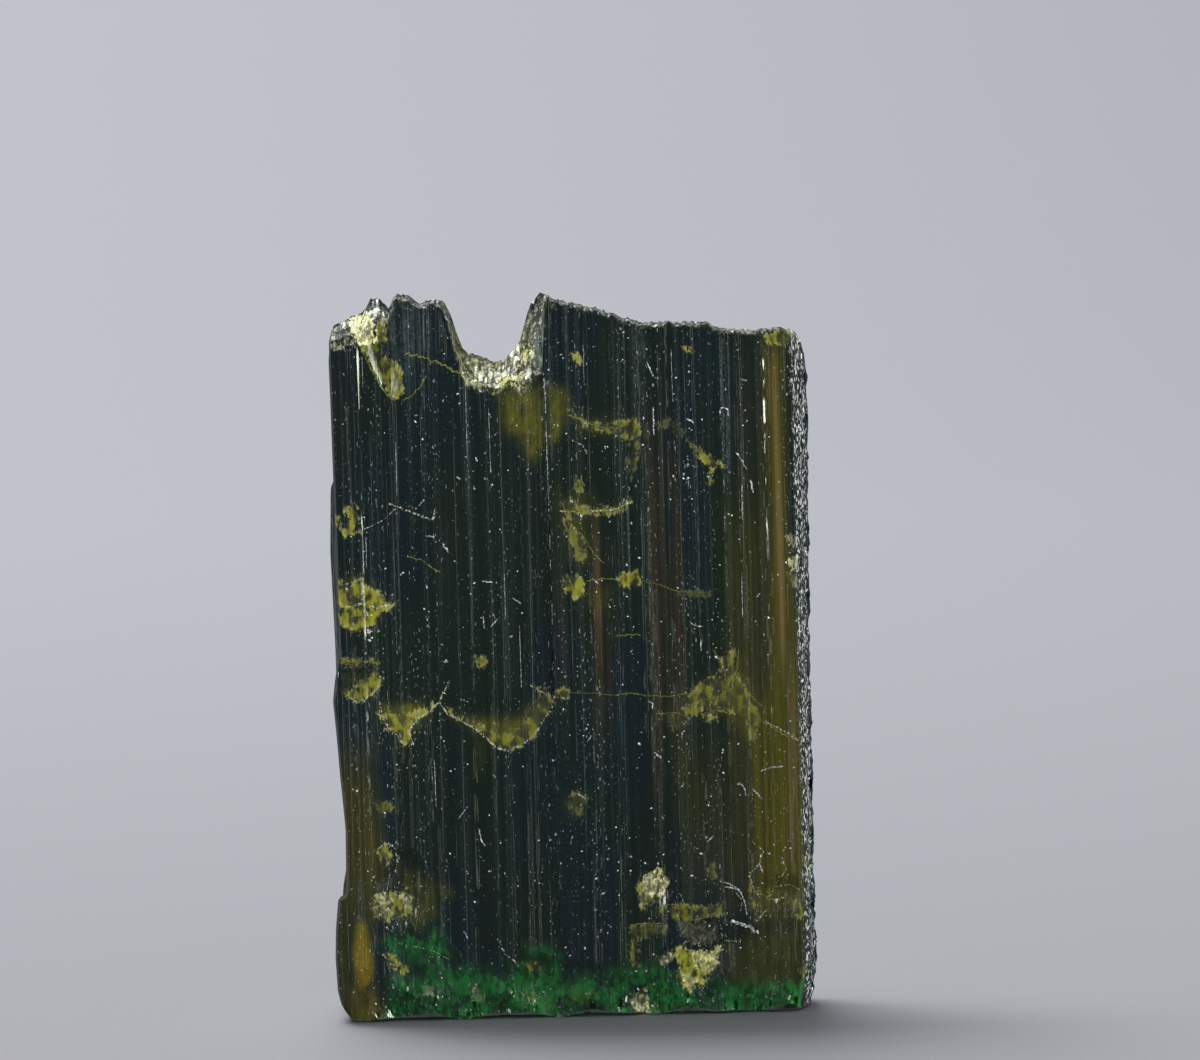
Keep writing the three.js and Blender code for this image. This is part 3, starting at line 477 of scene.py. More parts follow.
def plate_depth(plates, x):
    """Depth of the growth plate at x, turning into its neighbour over a narrow step."""
    depth = np.full_like(x, plates[0][1])
    for start, value in plates[1:]:
        share = smooth(x, start - STEP_HALF, start + STEP_HALF)
        depth = depth + (value - depth) * share
    return depth


def field(x, y, z, scale, octaves=3):
    """Turbulent noise between about -1 and 1 at points in millimetres."""
    points = zip(x * scale, y * scale, z * scale)
    return np.array([noise.fractal(Vector(p), 1.0, 2.1, octaves) for p in points])


def hackle(x, y, z, size):
    """Heights of small tilted facets, as on a hackly break, between about -1 and 1."""
    heights = np.empty(len(x))
    for i, p in enumerate(zip(x / size, y / size, z / size)):
        centre = noise.voronoi(Vector(p))[1][0]
        tilt = noise.cell_vector(centre * 7.3 + Vector((0.1, 0.2, 0.3))) * 2 - Vector((1, 1, 1))
        heights[i] = (Vector(p) - centre).dot(tilt) + 0.4 * tilt.x
    return heights


def patches(x, y, z, size):
    """A random value between 0 and 1 for each patch of about that size."""
    points = zip(x / size, y / size, z / size)
    return np.array([abs(noise.cell(noise.voronoi(Vector(p))[1][0] * 7.3)) for p in points])


def striae(x, z, seed):
    """Fine ridges along the crystal. Each strip has its own height, and some end part way."""
    source = np.random.default_rng(seed)
    edges = np.cumsum(source.uniform(*STRIP_WIDTHS, STRIP_COUNT)) - HALF_WIDTH - 0.5
    strip = np.searchsorted(edges, x)
    low, high = source.uniform(0, 1, (2, STRIP_COUNT + 2)) ** 1.6
    tilt = source.uniform(-1, 1, STRIP_COUNT + 2)
    ends = source.uniform(*STRIP_ENDS, STRIP_COUNT + 2)
    near = np.clip(strip, 1, STRIP_COUNT - 1)
    across = (x - edges[near - 1]) / (edges[near] - edges[near - 1]) - 0.5
    part = smooth(z, ends[near] - 0.5, ends[near] + 0.5)
    rise = low[near] + (high[near] - low[near]) * part
    return STRIP_RISE * (rise + STRIP_TILT * tilt[near] * across)


def scar_depth(scars, x, z):
    """Depth of the shell-shaped scars, each with a crisp rim."""
    deepest = np.zeros_like(x)
    for cx, cz, half_width, half_height, lean, depth in scars:
        a = math.radians(lean)
        across = ((x - cx) * math.cos(a) + (z - cz) * math.sin(a)) / half_width
        up = ((z - cz) * math.cos(a) - (x - cx) * math.sin(a)) / half_height
        bowl = np.clip(1 - across**2 - up**2, 0, 1) ** 0.8
        deepest = np.maximum(deepest, depth * bowl)
    return deepest


def foot_break(x, z):
    """How far the face draws in near the foot, in waves."""
    wave = np.sin(2.5 * x + 0.9 * z) * np.cos(2.1 * z - 0.65 * x + 0.8)
    return 0.28 * np.clip(1 - z / 2.2, 0, 1) * (1 + 0.7 * wave)


def front_face(x, z):
    """y of the front face at x and z."""
    inset = plate_depth(FRONT_PLATES, x) + striae(x, z, SEED) + scar_depth(FRONT_SCARS, x, z)
    return -HALF_THICKNESS + inset + foot_break(x, z)


def back_face(x, z):
    """y of the back face at x and z."""
    slope = np.clip((x - SLOPE_START) / (HALF_WIDTH - SLOPE_START), 0, 1)
    plane = HALF_THICKNESS + (THIN_EDGE - HALF_THICKNESS) * slope
    inset = plate_depth(BACK_PLATES, x) + striae(x, z, SEED + 1) + scar_depth(BACK_SCARS, x, z)
    return plane - inset - foot_break(x + 2, z)


def head_height(x, share):
    """Height of the broken head at x, for a share of the thickness from front to back."""
    front = along(FRONT_RIM, x) * np.clip(1 - share / RIM_DEPTH, 0, 1)
    back = along(BACK_RIM, x) * np.clip((share - RIM_DEPTH) / (1 - RIM_DEPTH), 0, 1) ** 1.4
    crumbs = 0.07 * np.abs(np.sin(4.3 * x + 0.7) * np.sin(9.7 * x)) + 0.05 * np.abs(np.sin(17 * x))
    return along(HEAD, x) - front - back - crumbs


def foot_height(x, share):
    """How far the chipped edge of the foot stands clear of the ground."""
    rim = np.minimum(share, 1 - share) / 0.12
    end = (HALF_WIDTH - 0.4 - np.abs(x)) / 0.8
    chip = 0.16 + 0.1 * np.sin(1.7 * x) + 0.06 * np.sin(3.1 * x + 1)
    return np.clip(chip * np.clip(1 - np.minimum(rim, end), 0, None), 0, None)


def stops(fixed, gap):
    """Places from the first to the last fixed one, no further apart than gap."""
    pieces = []
    for a, b in zip(fixed, fixed[1:]):
        count = math.ceil((b - a) / gap - 1e-6)
        pieces.append(np.linspace(a, b, count, endpoint=False))
    return np.concatenate(pieces + [[fixed[-1]]])


def crystal_grid():
    """Column, row and level stops of the crystal's skin, each from 0 to 1."""
    edges = [x + s * STEP_HALF for x, _ in FRONT_PLATES[1:] for s in (-1, 1)]
    columns = stops([-HALF_WIDTH, *edges, HALF_WIDTH], COLUMN_GAP)
    columns = (columns + HALF_WIDTH) / (2 * HALF_WIDTH)
    return columns, stops(ROW_STOPS, ROW_GAP), stops(LEVEL_STOPS, LEVEL_GAP) / HEIGHT


def shape_skin(u, v, w):
    """Millimetre positions of the skin for shares across, through and up the crystal."""
    z = w * HEIGHT
    for _ in range(2):
        edge = np.where(v < 0.36, along(LEFT_FRONT, z), along(LEFT_REAR, z))
        left = edge + along(LEFT_SIDE, v)
        comb = 0.5 + 0.3 * np.sin(2.6 * z + 9 * v) + 0.2 * np.sin(6.1 * z - 14 * v)
        rough = EDGE_ROUGHNESS * comb * np.sin(np.pi * np.clip(0.12 + v, 0, 1))
        right = along(RIGHT_EDGE, z) - along(RIGHT_SIDE, v) - rough
        x = left + (right - left) * u
        foot = foot_height(x, v)
        z = foot + (head_height(x, v) - foot) * w
    y = front_face(x, z) * (1 - v) + back_face(x, z) * v
    return x, y, z


def roughen(x, y, z, v, w, chipped):
    """Breaks up the head, the right-hand edge, the foot and the chips into small facets."""
    down = head_height(x, v) - z
    rim = along(HEAD_BREAK, x) * (0.5 + 1.5 * np.abs(field(x, y * 0.5, 0 * z, 1.1)))
    head = np.clip(1.5 - 1.5 * down / rim, 0, 1) * smooth(w, 0.5, 0.6)
    edge = smooth(x, HALF_WIDTH - 0.95, HALF_WIDTH - 0.25)
    foot = smooth(-z, -1.6, 0)
    touched = np.flatnonzero((head > 0) | (edge > 0) | (foot > 0) | (chipped > 0))
    spot = x[touched], y[touched], z[touched]
    coarse, fine = hackle(*spot, COARSE_FACET), hackle(*spot, FINE_FACET)
    chip = -np.abs(0.18 * coarse + 0.1 * fine)
    relief = 0.9 + 2.2 * along(HEAD_BREAK, x[touched]) * smooth(v[touched], 0.0, 0.1)
    z[touched] += head[touched] * relief * chip
    slope = np.abs(along(HEAD, x[touched] + 0.1) - along(HEAD, x[touched] - 0.1)) / 0.2
    steep = head[touched] * smooth(slope, 0.6, 1.6)
    x[touched] += edge[touched] * (0.05 * fine - 0.05) + steep * (0.1 * coarse + 0.08 * fine)
    inward = np.sign(0.5 - v[touched]) * (edge + 0.8 * foot + 0.6 * chipped)[touched]
    y[touched] += inward * (0.03 - 0.9 * chip)
    return head, foot


def chip_share(x, z):
    """1 in the pale chips and in the broken foot with its painted green light, 0 well away from
    them.
    """
    flat = np.stack([x, z], 1) + SKETCH_ORIGIN
    share = np.zeros(len(flat))
    for _, outline in PALES:
        share = np.maximum(share, smooth(inside(outline, flat), -0.3, 0.15))
    for kind, strength, soft, outline in STAINS:
        if kind == "green":
            share = np.maximum(share, 0.6 * strength * smooth(inside(outline, flat), -soft, soft))
    return share


def sketch_fields(x, z, painted):
    """Strengths of the sketched cracks, chips and stains at the painted points, 0 elsewhere."""
    flat = np.stack([x, z], 1)[painted] + SKETCH_ORIGIN
    fields = {}

    def fill(name, values):
        fields[name] = np.zeros(len(x))
        fields[name][painted] = values

    for name, outlines in (("veil", VEILS), ("pale", PALES)):
        rim, glow = np.zeros(len(flat)), np.zeros(len(flat))
        for strength, outline in outlines:
            share = np.clip(0.5 + inside(outline, flat), 0, 1)
            glow = np.where(share > rim, strength, glow)
            rim = np.maximum(rim, share)
        fill(name, rim)
        fill(name + "_glow", glow)
    for kind, along_length in STAIN_KINDS.items():
        total = np.zeros(len(flat))
        for _, strength, soft, outline in (s for s in STAINS if s[0] == kind):
            squashed = np.array([1, along_length])
            share = smooth(inside(outline * squashed, flat * squashed), -soft, soft)
            total = np.maximum(total, strength * share)
        fill(kind, total)
    return fields


def surface_fields(x, y, z, v, head, foot):
    """Strengths of all that the material shows, for each point of the skin."""
    on_front = v < FRONT_SHARE
    near_head = (v < HEAD_SHARE) & (z > HEAD_LEVEL)
    left_facet = (v > FACET_START) & (v < FACET_END) & (x < FACET_X)
    fields = sketch_fields(x, z, on_front | near_head | left_facet)
    # The painted green light in the foot falls in patches
    fields["green"] *= 0.15 + 1.1 * patches(x, y, z, GREEN_PATCH)
    fields["front"] = on_front.astype(float)
    fields["cloud"] = smooth(field(x, y, z * 0.3, 0.45), -0.25, 0.35)
    crooked = field(x * 0.7, y * 1.4, z + 0.8 * np.sin(0.4 * x), 0.22, 4)
    patchy = smooth(field(x + 40, y, z, 0.2), -0.05, 0.2)
    fields["sheet"] = 0.4 * smooth(-np.abs(crooked), -0.06, 0) * patchy * ~on_front
    facing = patches(x, y, z, BREAK_PATCH)
    inner = smooth(v, 0.2, 0.36) * (0.95 - 0.5 * facing * smooth(facing, 0.5, 0.6))
    fields["broken"] = np.clip(head * (1 - inner) + 0.25 * foot * (z < 0.2), 0, 1)
    # White crumbs on the frosted right edge, partly painted glints
    fields["frost"] = smooth(x, 8.95, 9.15) * (1 - smooth(v, 0.3, 0.56))
    # Painted light in the notch, where light from behind shows through the thin break
    in_notch = smooth(-np.abs(x - NOTCH_X), -1.9, -1.0) * smooth(-z, -28.4, -27.2)
    fields["lit"] = head * in_notch * (v < 0.5)
    return fields


def inside(outline, points):
    """Distance in millimetres inside a closed outline, negative outside it."""
    corners = np.asarray(outline)
    nearest = np.full(len(points), np.inf)
    crossings = np.zeros(len(points), bool)
    for a, b in zip(corners, np.roll(corners, -1, 0)):
        side = b - a
        t = np.clip(((points - a) @ side) / (side @ side), 0, 1)
        nearest = np.minimum(nearest, np.linalg.norm(points - a - t[:, None] * side, axis=1))
        spans = (a[1] > points[:, 1]) != (b[1] > points[:, 1])
        with np.errstate(divide="ignore", invalid="ignore"):
            cut = a[0] + (points[:, 1] - a[1]) * side[0] / side[1]
        crossings ^= spans & (points[:, 0] < cut)
    return np.where(crossings, nearest, -nearest)


class Wire:
    """A socket in a shader. Arithmetic adds Math nodes, and node() adds any other node."""

    def __init__(self, tree, socket=None):
        self.tree = tree
        self.socket = socket

    def node(self, kind, settings=None, sockets=None, output=0):
        made = self.tree.nodes.new(kind)
        for name, value in (settings or {}).items():
            setattr(made, name, value)
        for name, value in (sockets or {}).items():
            if isinstance(value, Wire):
                self.tree.links.new(value.socket, made.inputs[name])
            else:
                made.inputs[name].default_value = value
        return Wire(self.tree, made.outputs[output])

    def math(self, operation, first, second):
        return self.node("ShaderNodeMath", {"operation": operation}, {0: first, 1: second})

    def __add__(self, other):
        return self.math("ADD", self, other)

    def __radd__(self, other):
        return self.math("ADD", other, self)

    def __sub__(self, other):
        return self.math("SUBTRACT", self, other)

    def __rsub__(self, other):
        return self.math("SUBTRACT", other, self)

    def __mul__(self, other):
        return self.math("MULTIPLY", self, other)

    def __rmul__(self, other):
        return self.math("MULTIPLY", other, self)

    def __or__(self, other):
        """The greater of the two."""
        return self.math("MAXIMUM", self, other)

    def rise(self, low, high):
        """0 below low and 1 above high, with a soft turn between."""
        limits = {0: self, 1: low, 2: high}
        return self.node("ShaderNodeMapRange", {"interpolation_type": "SMOOTHSTEP"}, limits)

    def mix(self, first, second):
        """The first colour where this is 0, and the second where it is 1."""
        first, second = (c if isinstance(c, Wire) else (*c, 1.0) for c in (first, second))
        return self.node("ShaderNodeMix", {"data_type": "RGBA"}, {0: self, 6: first, 7: second}, 2)

    def tint(self, colour):
        """This colour multiplied by another colour or a value."""
        settings = {"data_type": "RGBA", "blend_type": "MULTIPLY"}
        return self.node("ShaderNodeMix", settings, {0: 1.0, 6: self, 7: colour}, 2)

    def scaled(self, x, y, z):
        """These coordinates multiplied per axis."""
        return self.node("ShaderNodeMapping", {}, {"Vector": self, "Scale": (x, y, z)})

    def grain(self, x, y, z, detail):
        """Noise with so many cells per millimetre along each axis, between 0 and 1."""
        sockets = {"Vector": self.scaled(x / MM, y / MM, z / MM), "Scale": 1.0, "Detail": detail}
        return self.node("ShaderNodeTexNoise", {}, sockets)

    def facets(self, x, y, z):
        """A random value for each cell, with so many cells per millimetre along each axis."""
        sockets = {"Vector": self.scaled(x / MM, y / MM, z / MM), "Scale": 1.0}
        return self.node("ShaderNodeTexVoronoi", {}, sockets, 1)


def new_material(name):
    """An empty material: its tree as a wire, its object coordinates and its shader node."""
    material = bpy.data.materials.new(name)
    material.use_nodes = True
    tree = material.node_tree
    tree.nodes.clear()
    start = Wire(tree)
    place = start.node("ShaderNodeTexCoord", output=3)
    shader = tree.nodes.new("ShaderNodeBsdfPrincipled")
    output = tree.nodes.new("ShaderNodeOutputMaterial")
    tree.links.new(shader.outputs[0], output.inputs["Surface"])
    return material, place, shader


def feed(shader, name, value):
    """Sets or links a socket of the shader."""
    if isinstance(value, Wire):
        value.tree.links.new(value.socket, shader.inputs[name])
    else:
        shader.inputs[name].default_value = value


def layered(colour, layers):
    """A colour with others laid over it in turn, each by its share."""
    for share, over in layers:
        colour = share.mix(colour, over)
    return colour


class Grains:
    """The noises and the painted strengths that the crystal's looks are mixed from."""

    def __init__(self, place):
        self.place = place
        self.streak = place.grain(3.2, 1.5, 0.035, 2.0)
        self.thread = place.grain(12.0, 5.0, 0.09, 1.0)
        self.grit = place.grain(12.0, 12.0, 8.0, 1.0)
        self.feather = place.grain(3.6, 3.6, 2.4, 3.0)
        self.facet = place.facets(8.0, 8.0, 6.5).rise(0.15, 0.9)
        self.stripe = (0.5 * (self.streak + self.thread)).rise(0.36, 0.62)
        self.mottle = (0.5 * (self.grit + self.feather)).rise(0.4, 0.6)
        self.crumb = (0.5 * (self.grit + self.feather)).rise(0.48, 0.58)

    def painted(self, name):
        """Strength of one of the blade's painted attributes."""
        return self.place.node("ShaderNodeAttribute", {"attribute_name": name}, output=2)

    def growth_and_light_colour(self, looks):
        """Colour of the glassy crystal: its dark body, grown bands and stains, and painted light.
        """
        body = self.painted("cloud").mix(looks.body_blue, looks.body_green)
        silk = self.thread.rise(0.54, 0.66) * self.streak.rise(0.4, 0.62)
        # Pale blue-grey streaks; on the left facet they are a painted reflection
        blue = self.painted("blue") * self.thread.rise(0.42, 0.66) * (0.35 + 0.9 * self.mottle)
        colour = layered(body, [
            (0.13 * silk, looks.pale_blue),
            (self.painted("brown") * self.streak.rise(0.3, 0.6), looks.brown),
            (self.painted("olive") * (0.6 + 0.15 * self.stripe + 0.4 * self.feather), looks.olive),
            (self.painted("tan"), looks.tan),
            (blue, looks.pale_blue),
            # Painted green light in the foot
            (self.painted("green") * (0.3 + 1.1 * self.feather.rise(0.3, 0.7)), looks.painted_green_light),
            (self.painted("amber") * (0.4 + self.feather), looks.amber),
        ])
        return colour.tint(0.75 + 0.45 * self.stripe)

    def cracks(self):
        """Shares of all cracks, of the crisp ones and of their ragged rims with a painted
        highlight.
        """
        ragged = self.painted("veil") + 0.3 * (self.feather - 0.5)
        ragged = ragged + 0.1 * (self.thread - 0.5) + 0.2 * (self.grit - 0.5)
        crisp = ragged.rise(0.38, 0.6)
        rim = crisp * (1 - ragged.rise(0.5, 0.68)) * self.crumb
        body = 0.16 + 0.62 * self.feather.rise(0.4, 0.62) + 0.1 * self.mottle + 0.45 * rim
        crack = crisp * body * self.painted("veil_glow") * (0.6 + 0.5 * self.stripe)
        # Soft haze, glowing with painted light that shows through from behind
        haze_and_glow = self.painted("haze_and_glow") * (0.5 + 0.14 * self.stripe) * (0.3 + 1.3 * self.feather)
        sheet = self.painted("sheet") * self.feather.rise(0.35, 0.6)
        return (crack | haze_and_glow) | sheet, crisp, rim

    def chips(self):
        """Shares of the pale chips and of their bright facets, which also get a painted glow."""
        chipped = self.painted("pale") + 0.6 * (self.feather - 0.5) + 0.4 * (self.grit - 0.5)
        chipped = chipped.rise(0.42, 0.56) * self.painted("pale_glow")
        return chipped, chipped * (0.15 + 0.85 * self.facet) * (0.3 + 0.7 * self.mottle)

    def frost(self):
        """Share of the white crumbs on the frosted right edge, partly painted glints."""
        crumbs = self.place.grain(9.0, 9.0, 5.0, 2.0) + 0.13 * (self.painted("frost") - 1)
        return self.painted("frost") * crumbs.rise(0.53, 0.6) * (0.4 + self.facet)

    def ticks(self):
        """Share of the small white ticks along the ridges."""
        ticks = self.place.grain(16.0, 16.0, 6.0, 0.0).rise(0.72, 0.8)
        ticks = ticks * (0.2 + 0.5 * self.painted("front"))
        return ticks * self.streak.rise(0.42, 0.6) * (0.2 + self.facet)


def crystal_material(looks):
    """Near-black glassy epidote with olive cracks, stains and frosted breaks, and painted light on
    them.
    """
    material, place, shader = new_material("epidote")
    grains = Grains(place)
    broken = grains.painted("broken")
    veil, crisp, rim = grains.cracks()
    chipped, chip = grains.chips()
    frost = grains.frost()

    # Base colour: cracks, haze and sheets are bright with painted light that they catch from
    # behind, crack rims get a painted highlight, and the white crumbs of the right edge are partly
    # painted glints
    feed(shader, "Base Color", layered(grains.growth_and_light_colour(looks), [
        (veil.rise(0.0, 0.5), veil.mix(looks.veil_dim, looks.veil_bright)),
        (0.5 * rim * grains.painted("veil_glow"), looks.cream),
        (0.6 * broken * grains.feather.rise(0.48, 0.62), looks.break_lime),
        (broken * grains.crumb * grains.facet * (0.3 + 0.7 * grains.facet), looks.break_white),
        (0.6 * chipped, looks.break_lime),
        (chip, looks.cream),
        (frost | grains.ticks(), looks.break_white),
    ]))
    # Painted glow, put on as emission: light that shows through the cracks, the haze, the tan line,
    # the chips and the notch from behind, and painted glints on the frosted right edge
    feed(shader, "Emission Color", layered((0, 0, 0), [
        (veil * (0.2 + 1.2 * veil), looks.painted_crack_glow),
        (grains.painted("tan") * (0.6 + 0.4 * grains.stripe), looks.painted_tan_glow),
        (chip * chip, looks.painted_chip_glow),
        (grains.painted("lit") * grains.mottle * (0.2 + 0.8 * grains.facet), looks.painted_notch_glow),
        (frost, looks.painted_edge_glints),
    ]))
    feed(shader, "Emission Strength", 1.0)
    feed(shader, "Roughness", 0.1 + 0.22 * (broken | crisp) + 0.2 * chipped + 0.1 * grains.streak)

    rough = 0.9 * broken + 0.5 * grains.painted("pale") + 0.3 * grains.painted("veil")
    ridges = (grains.streak + 0.5 * grains.thread) * (1 - broken)
    height = ridges + (grains.feather + 0.7 * grains.facet) * rough
    relief = {"Strength": 0.75, "Distance": 0.035 * MM, "Height": height}
    feed(shader, "Normal", place.node("ShaderNodeBump", {}, relief))
    feed(shader, "IOR", looks.refraction)
    feed(shader, "Specular Tint", (*looks.shine, 1.0))
    feed(shader, "Transmission Weight", looks.clearness)
    return material


def plain_material(name, colour, spread, roughness, low=0.35, high=0.65, glint=0.0):
    """A fine speckled solid colour with a faint painted glint, for what lies on the face."""
    material, place, shader = new_material(name)
    mottle = place.grain(12.0, 12.0, 12.0, 2.0)
    darker = tuple(c * (1 - spread) for c in colour)
    tone = mottle.rise(low, high).mix(darker, colour)
    feed(shader, "Base Color", tone)
    feed(shader, "Roughness", roughness)
    # Painted glint: the speckled colour also glows by the glint strength
    feed(shader, "Emission Color", tone)
    feed(shader, "Emission Strength", glint)
    return material


def colour_property(name, description, default):
    """A colour that the user may change."""
    return bpy.props.FloatVectorProperty(
        name=name, description=description, default=default, subtype="COLOR", min=0, max=1
    )


class EpidoteLooks(bpy.types.PropertyGroup):
    """Colours and clearness of the crystal, as the shader takes them."""

    body_blue: colour_property("Body blue", "Darkest, bluish body", (0.006, 0.02, 0.024))
    body_green: colour_property("Body green", "Darkest, greenish body", (0.008, 0.022, 0.015))
    brown: colour_property("Brown", "Brown growth bands", (0.054, 0.043, 0.022))
    olive: colour_property("Olive", "Translucent olive bands", (0.135, 0.12, 0.004))
    tan: colour_property("Tan", "Tan line in the olive band", (0.3, 0.21, 0.08))
    # Painted glow of the tan line: light that shows through it from behind
    painted_tan_glow: colour_property("Tan light", "Light of the tan line", (0.035, 0.025, 0.008))
    pale_blue: colour_property("Pale blue", "Blue-grey streaks", (0.12, 0.16, 0.17))
    # Painted green light in the foot, from a green holder that the model leaves out
    painted_green_light: colour_property("Bottle green", "Green glow in the foot", (0.022, 0.25, 0.05))
    amber: colour_property("Amber", "Amber column by the foot", (0.32, 0.24, 0.01))
    # How bright a crack shows is painted light that it catches from behind
    veil_dim: colour_property("Dim crack", "Cracks deep inside", (0.085, 0.085, 0.006))
    veil_bright: colour_property("Bright crack", "Cracks near the face", (0.4, 0.405, 0.025))
    break_lime: colour_property("Lime break", "Fresh broken rims", (0.3, 0.31, 0.14))
    break_white: colour_property("White break", "Frosted broken rims", (0.8, 0.82, 0.78))
    cream: colour_property("Cream", "Crushed cream chips", (0.85, 0.83, 0.5))
    # Painted glows, put on as emission: light that shows through the cracks, the chips and the
    # notch from behind, and glints on the frosted right edge
    painted_crack_glow: colour_property("Crack light", "Light that cracks pass on", (0.075, 0.077, 0.0))
    painted_chip_glow: colour_property("Chip light", "Light that chips pass on", (0.6, 0.58, 0.3))
    painted_notch_glow: colour_property("Rim light", "Light in the notch", (0.3, 0.29, 0.09))
    painted_edge_glints: colour_property("Frost light", "Glints of the right edge", (0.2, 0.21, 0.2))
    shine: colour_property("Shine", "Colour of the glassy shine", (0.85, 0.88, 0.75))
    clearness: bpy.props.FloatProperty(
        name="Clearness", description="Share of light that goes through", default=0.3, min=0,
        max=1, subtype="FACTOR",
    )
    refraction: bpy.props.FloatProperty(
        name="Refraction", description="Refractive index of epidote", default=1.74, min=1, max=3
    )


class EpidoteSizes(bpy.types.PropertyGroup):
    """Sizes and amounts of what lies on the crystal."""

    speck_count: bpy.props.IntProperty(
        name="Specks", description="Dust specks on the front face", default=6500, min=0
    )
    speck_radius: bpy.props.FloatProperty(
        name="Speck radius", description="Usual half width of a speck", default=0.022 * MM,
        unit="LENGTH", precision=6,
    )
    thread_step: bpy.props.FloatProperty(
        name="Thread step", description="Distance between the knots of a thread",
        default=0.06 * MM, unit="LENGTH", precision=6,
    )


def keep_lit(piece):
    """Puts a piece in the collection that the small lamps light."""
    lit = bpy.data.collections.get(LIT) or bpy.data.collections.new(LIT)
    lit.objects.link(piece)


def clean_start(name):
    """Leaves object mode with nothing selected, and removes an older piece of that name."""
    if bpy.context.object and bpy.context.object.mode != "OBJECT":
        bpy.ops.object.mode_set(mode="OBJECT")
    bpy.ops.object.select_all(action="DESELECT")
    old = bpy.data.objects.get(name)
    if old:
        bpy.data.objects.remove(old)


def pick_edges(wanted):
    """Selects the edges of the active mesh that pass a test, and no others, in edit mode."""
    mesh = bpy.context.object.data
    bpy.ops.mesh.select_all(action="DESELECT")
    bm = bmesh.from_edit_mesh(mesh)
    for edge in bm.edges:
        edge.select_set(wanted(edge))
    bmesh.update_edit_mesh(mesh)


def split_edges(axis, count):
    """Cuts the active mesh's edges along an axis into so many pieces, in one or two goes."""

    def runs_along(edge):
        way = edge.verts[0].co - edge.verts[1].co
        return abs(way[axis]) > 0.9 * way.length

    large = max(n for n in range(1, MOST_PIECES + 1) if count % n == 0)
    for pieces in (large, count // large):
        if pieces > 1:
            pick_edges(runs_along)
            bpy.ops.mesh.subdivide(number_cuts=pieces - 1)


def cut_cube(name, grid):
    """A cube from 0 to 1 on each axis, with as many columns, rows and levels as the grid."""
    clean_start(name)
    bpy.ops.mesh.primitive_cube_add(size=1, location=(0.5, 0.5, 0.5))
    cube = bpy.context.object
    cube.name = name
    bpy.ops.object.transform_apply(location=True)
    bpy.ops.object.mode_set(mode="EDIT")
    bpy.ops.mesh.select_mode(type="EDGE")
    for axis in (1, 2, 0):
        split_edges(axis, len(grid[axis]) - 1)
    bpy.ops.object.mode_set(mode="OBJECT")
    return cube


def grid_shares(mesh, grid):
    """The grid's shares across, through and up the crystal, for each point of the cut cube."""
    places = np.empty(len(mesh.vertices) * 3)
    mesh.vertices.foreach_get("co", places)
    steps = (np.rint(place * (len(shares) - 1)).astype(int)
             for place, shares in zip(places.reshape(-1, 3).T, grid))
    return [shares[step] for shares, step in zip(grid, steps)]


class EPIDOTE_OT_crystal(bpy.types.Operator):
    """Build the striated blade with its broken head, edge and foot"""

    bl_idname = "epidote.crystal"
    bl_label = "Crystal"

    def execute(self, context):
        grid = crystal_grid()
        blade = cut_cube(BLADE, grid)
        mesh = blade.data
        u, v, w = grid_shares(mesh, grid)
        x, y, z = shape_skin(u, v, w)
        on_front = v < FRONT_SHARE
        chipped = np.zeros(len(x))
        chipped[on_front] = chip_share(x[on_front], z[on_front])
        head, foot = roughen(x, y, z, v, w, chipped)
        middle = [(c.min() + c.max()) / 2 for c in (x, y)]
        x, y, z = x - middle[0], y - middle[1], z - z.min()
        mesh.vertices.foreach_set("co", (np.stack([x, y, z], 1) * MM).ravel())

        for key, values in surface_fields(x, y, z, v, head, foot).items():
            layer = mesh.attributes.new(key, "FLOAT", "POINT")
            layer.data.foreach_set("value", values.astype(np.float32))
        mesh.update()
        bpy.ops.object.shade_smooth_by_angle(angle=math.radians(CREASE))
        mesh.materials.append(crystal_material(context.scene.epidote_looks))
        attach(blade, "root")
        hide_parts(NODE)
        keep_lit(blade)
        return {"FINISHED"}


# Where rays towards the front face start, in metres, and how far a step may face sideways
RAY_START = -0.05
STEEPEST = 0.8


def on_face(blade, x, z):
    """Point and outward direction of the front face at x and z, or None on a steep step."""
    hit, spot, out, _ = blade.ray_cast(Vector((x, RAY_START, z)), Vector((0, 1, 0)))
    return (spot, out) if hit and abs(out.x) <= STEEPEST else None


def route(path):
    """The knots of a sketched path in metres, and how far along the path each lies."""
    knots = (np.array(path) - SKETCH_ORIGIN) * MM
    lengths = np.linalg.norm(np.diff(knots, axis=0), axis=1)
    return knots, np.concatenate([[0], lengths.cumsum()])


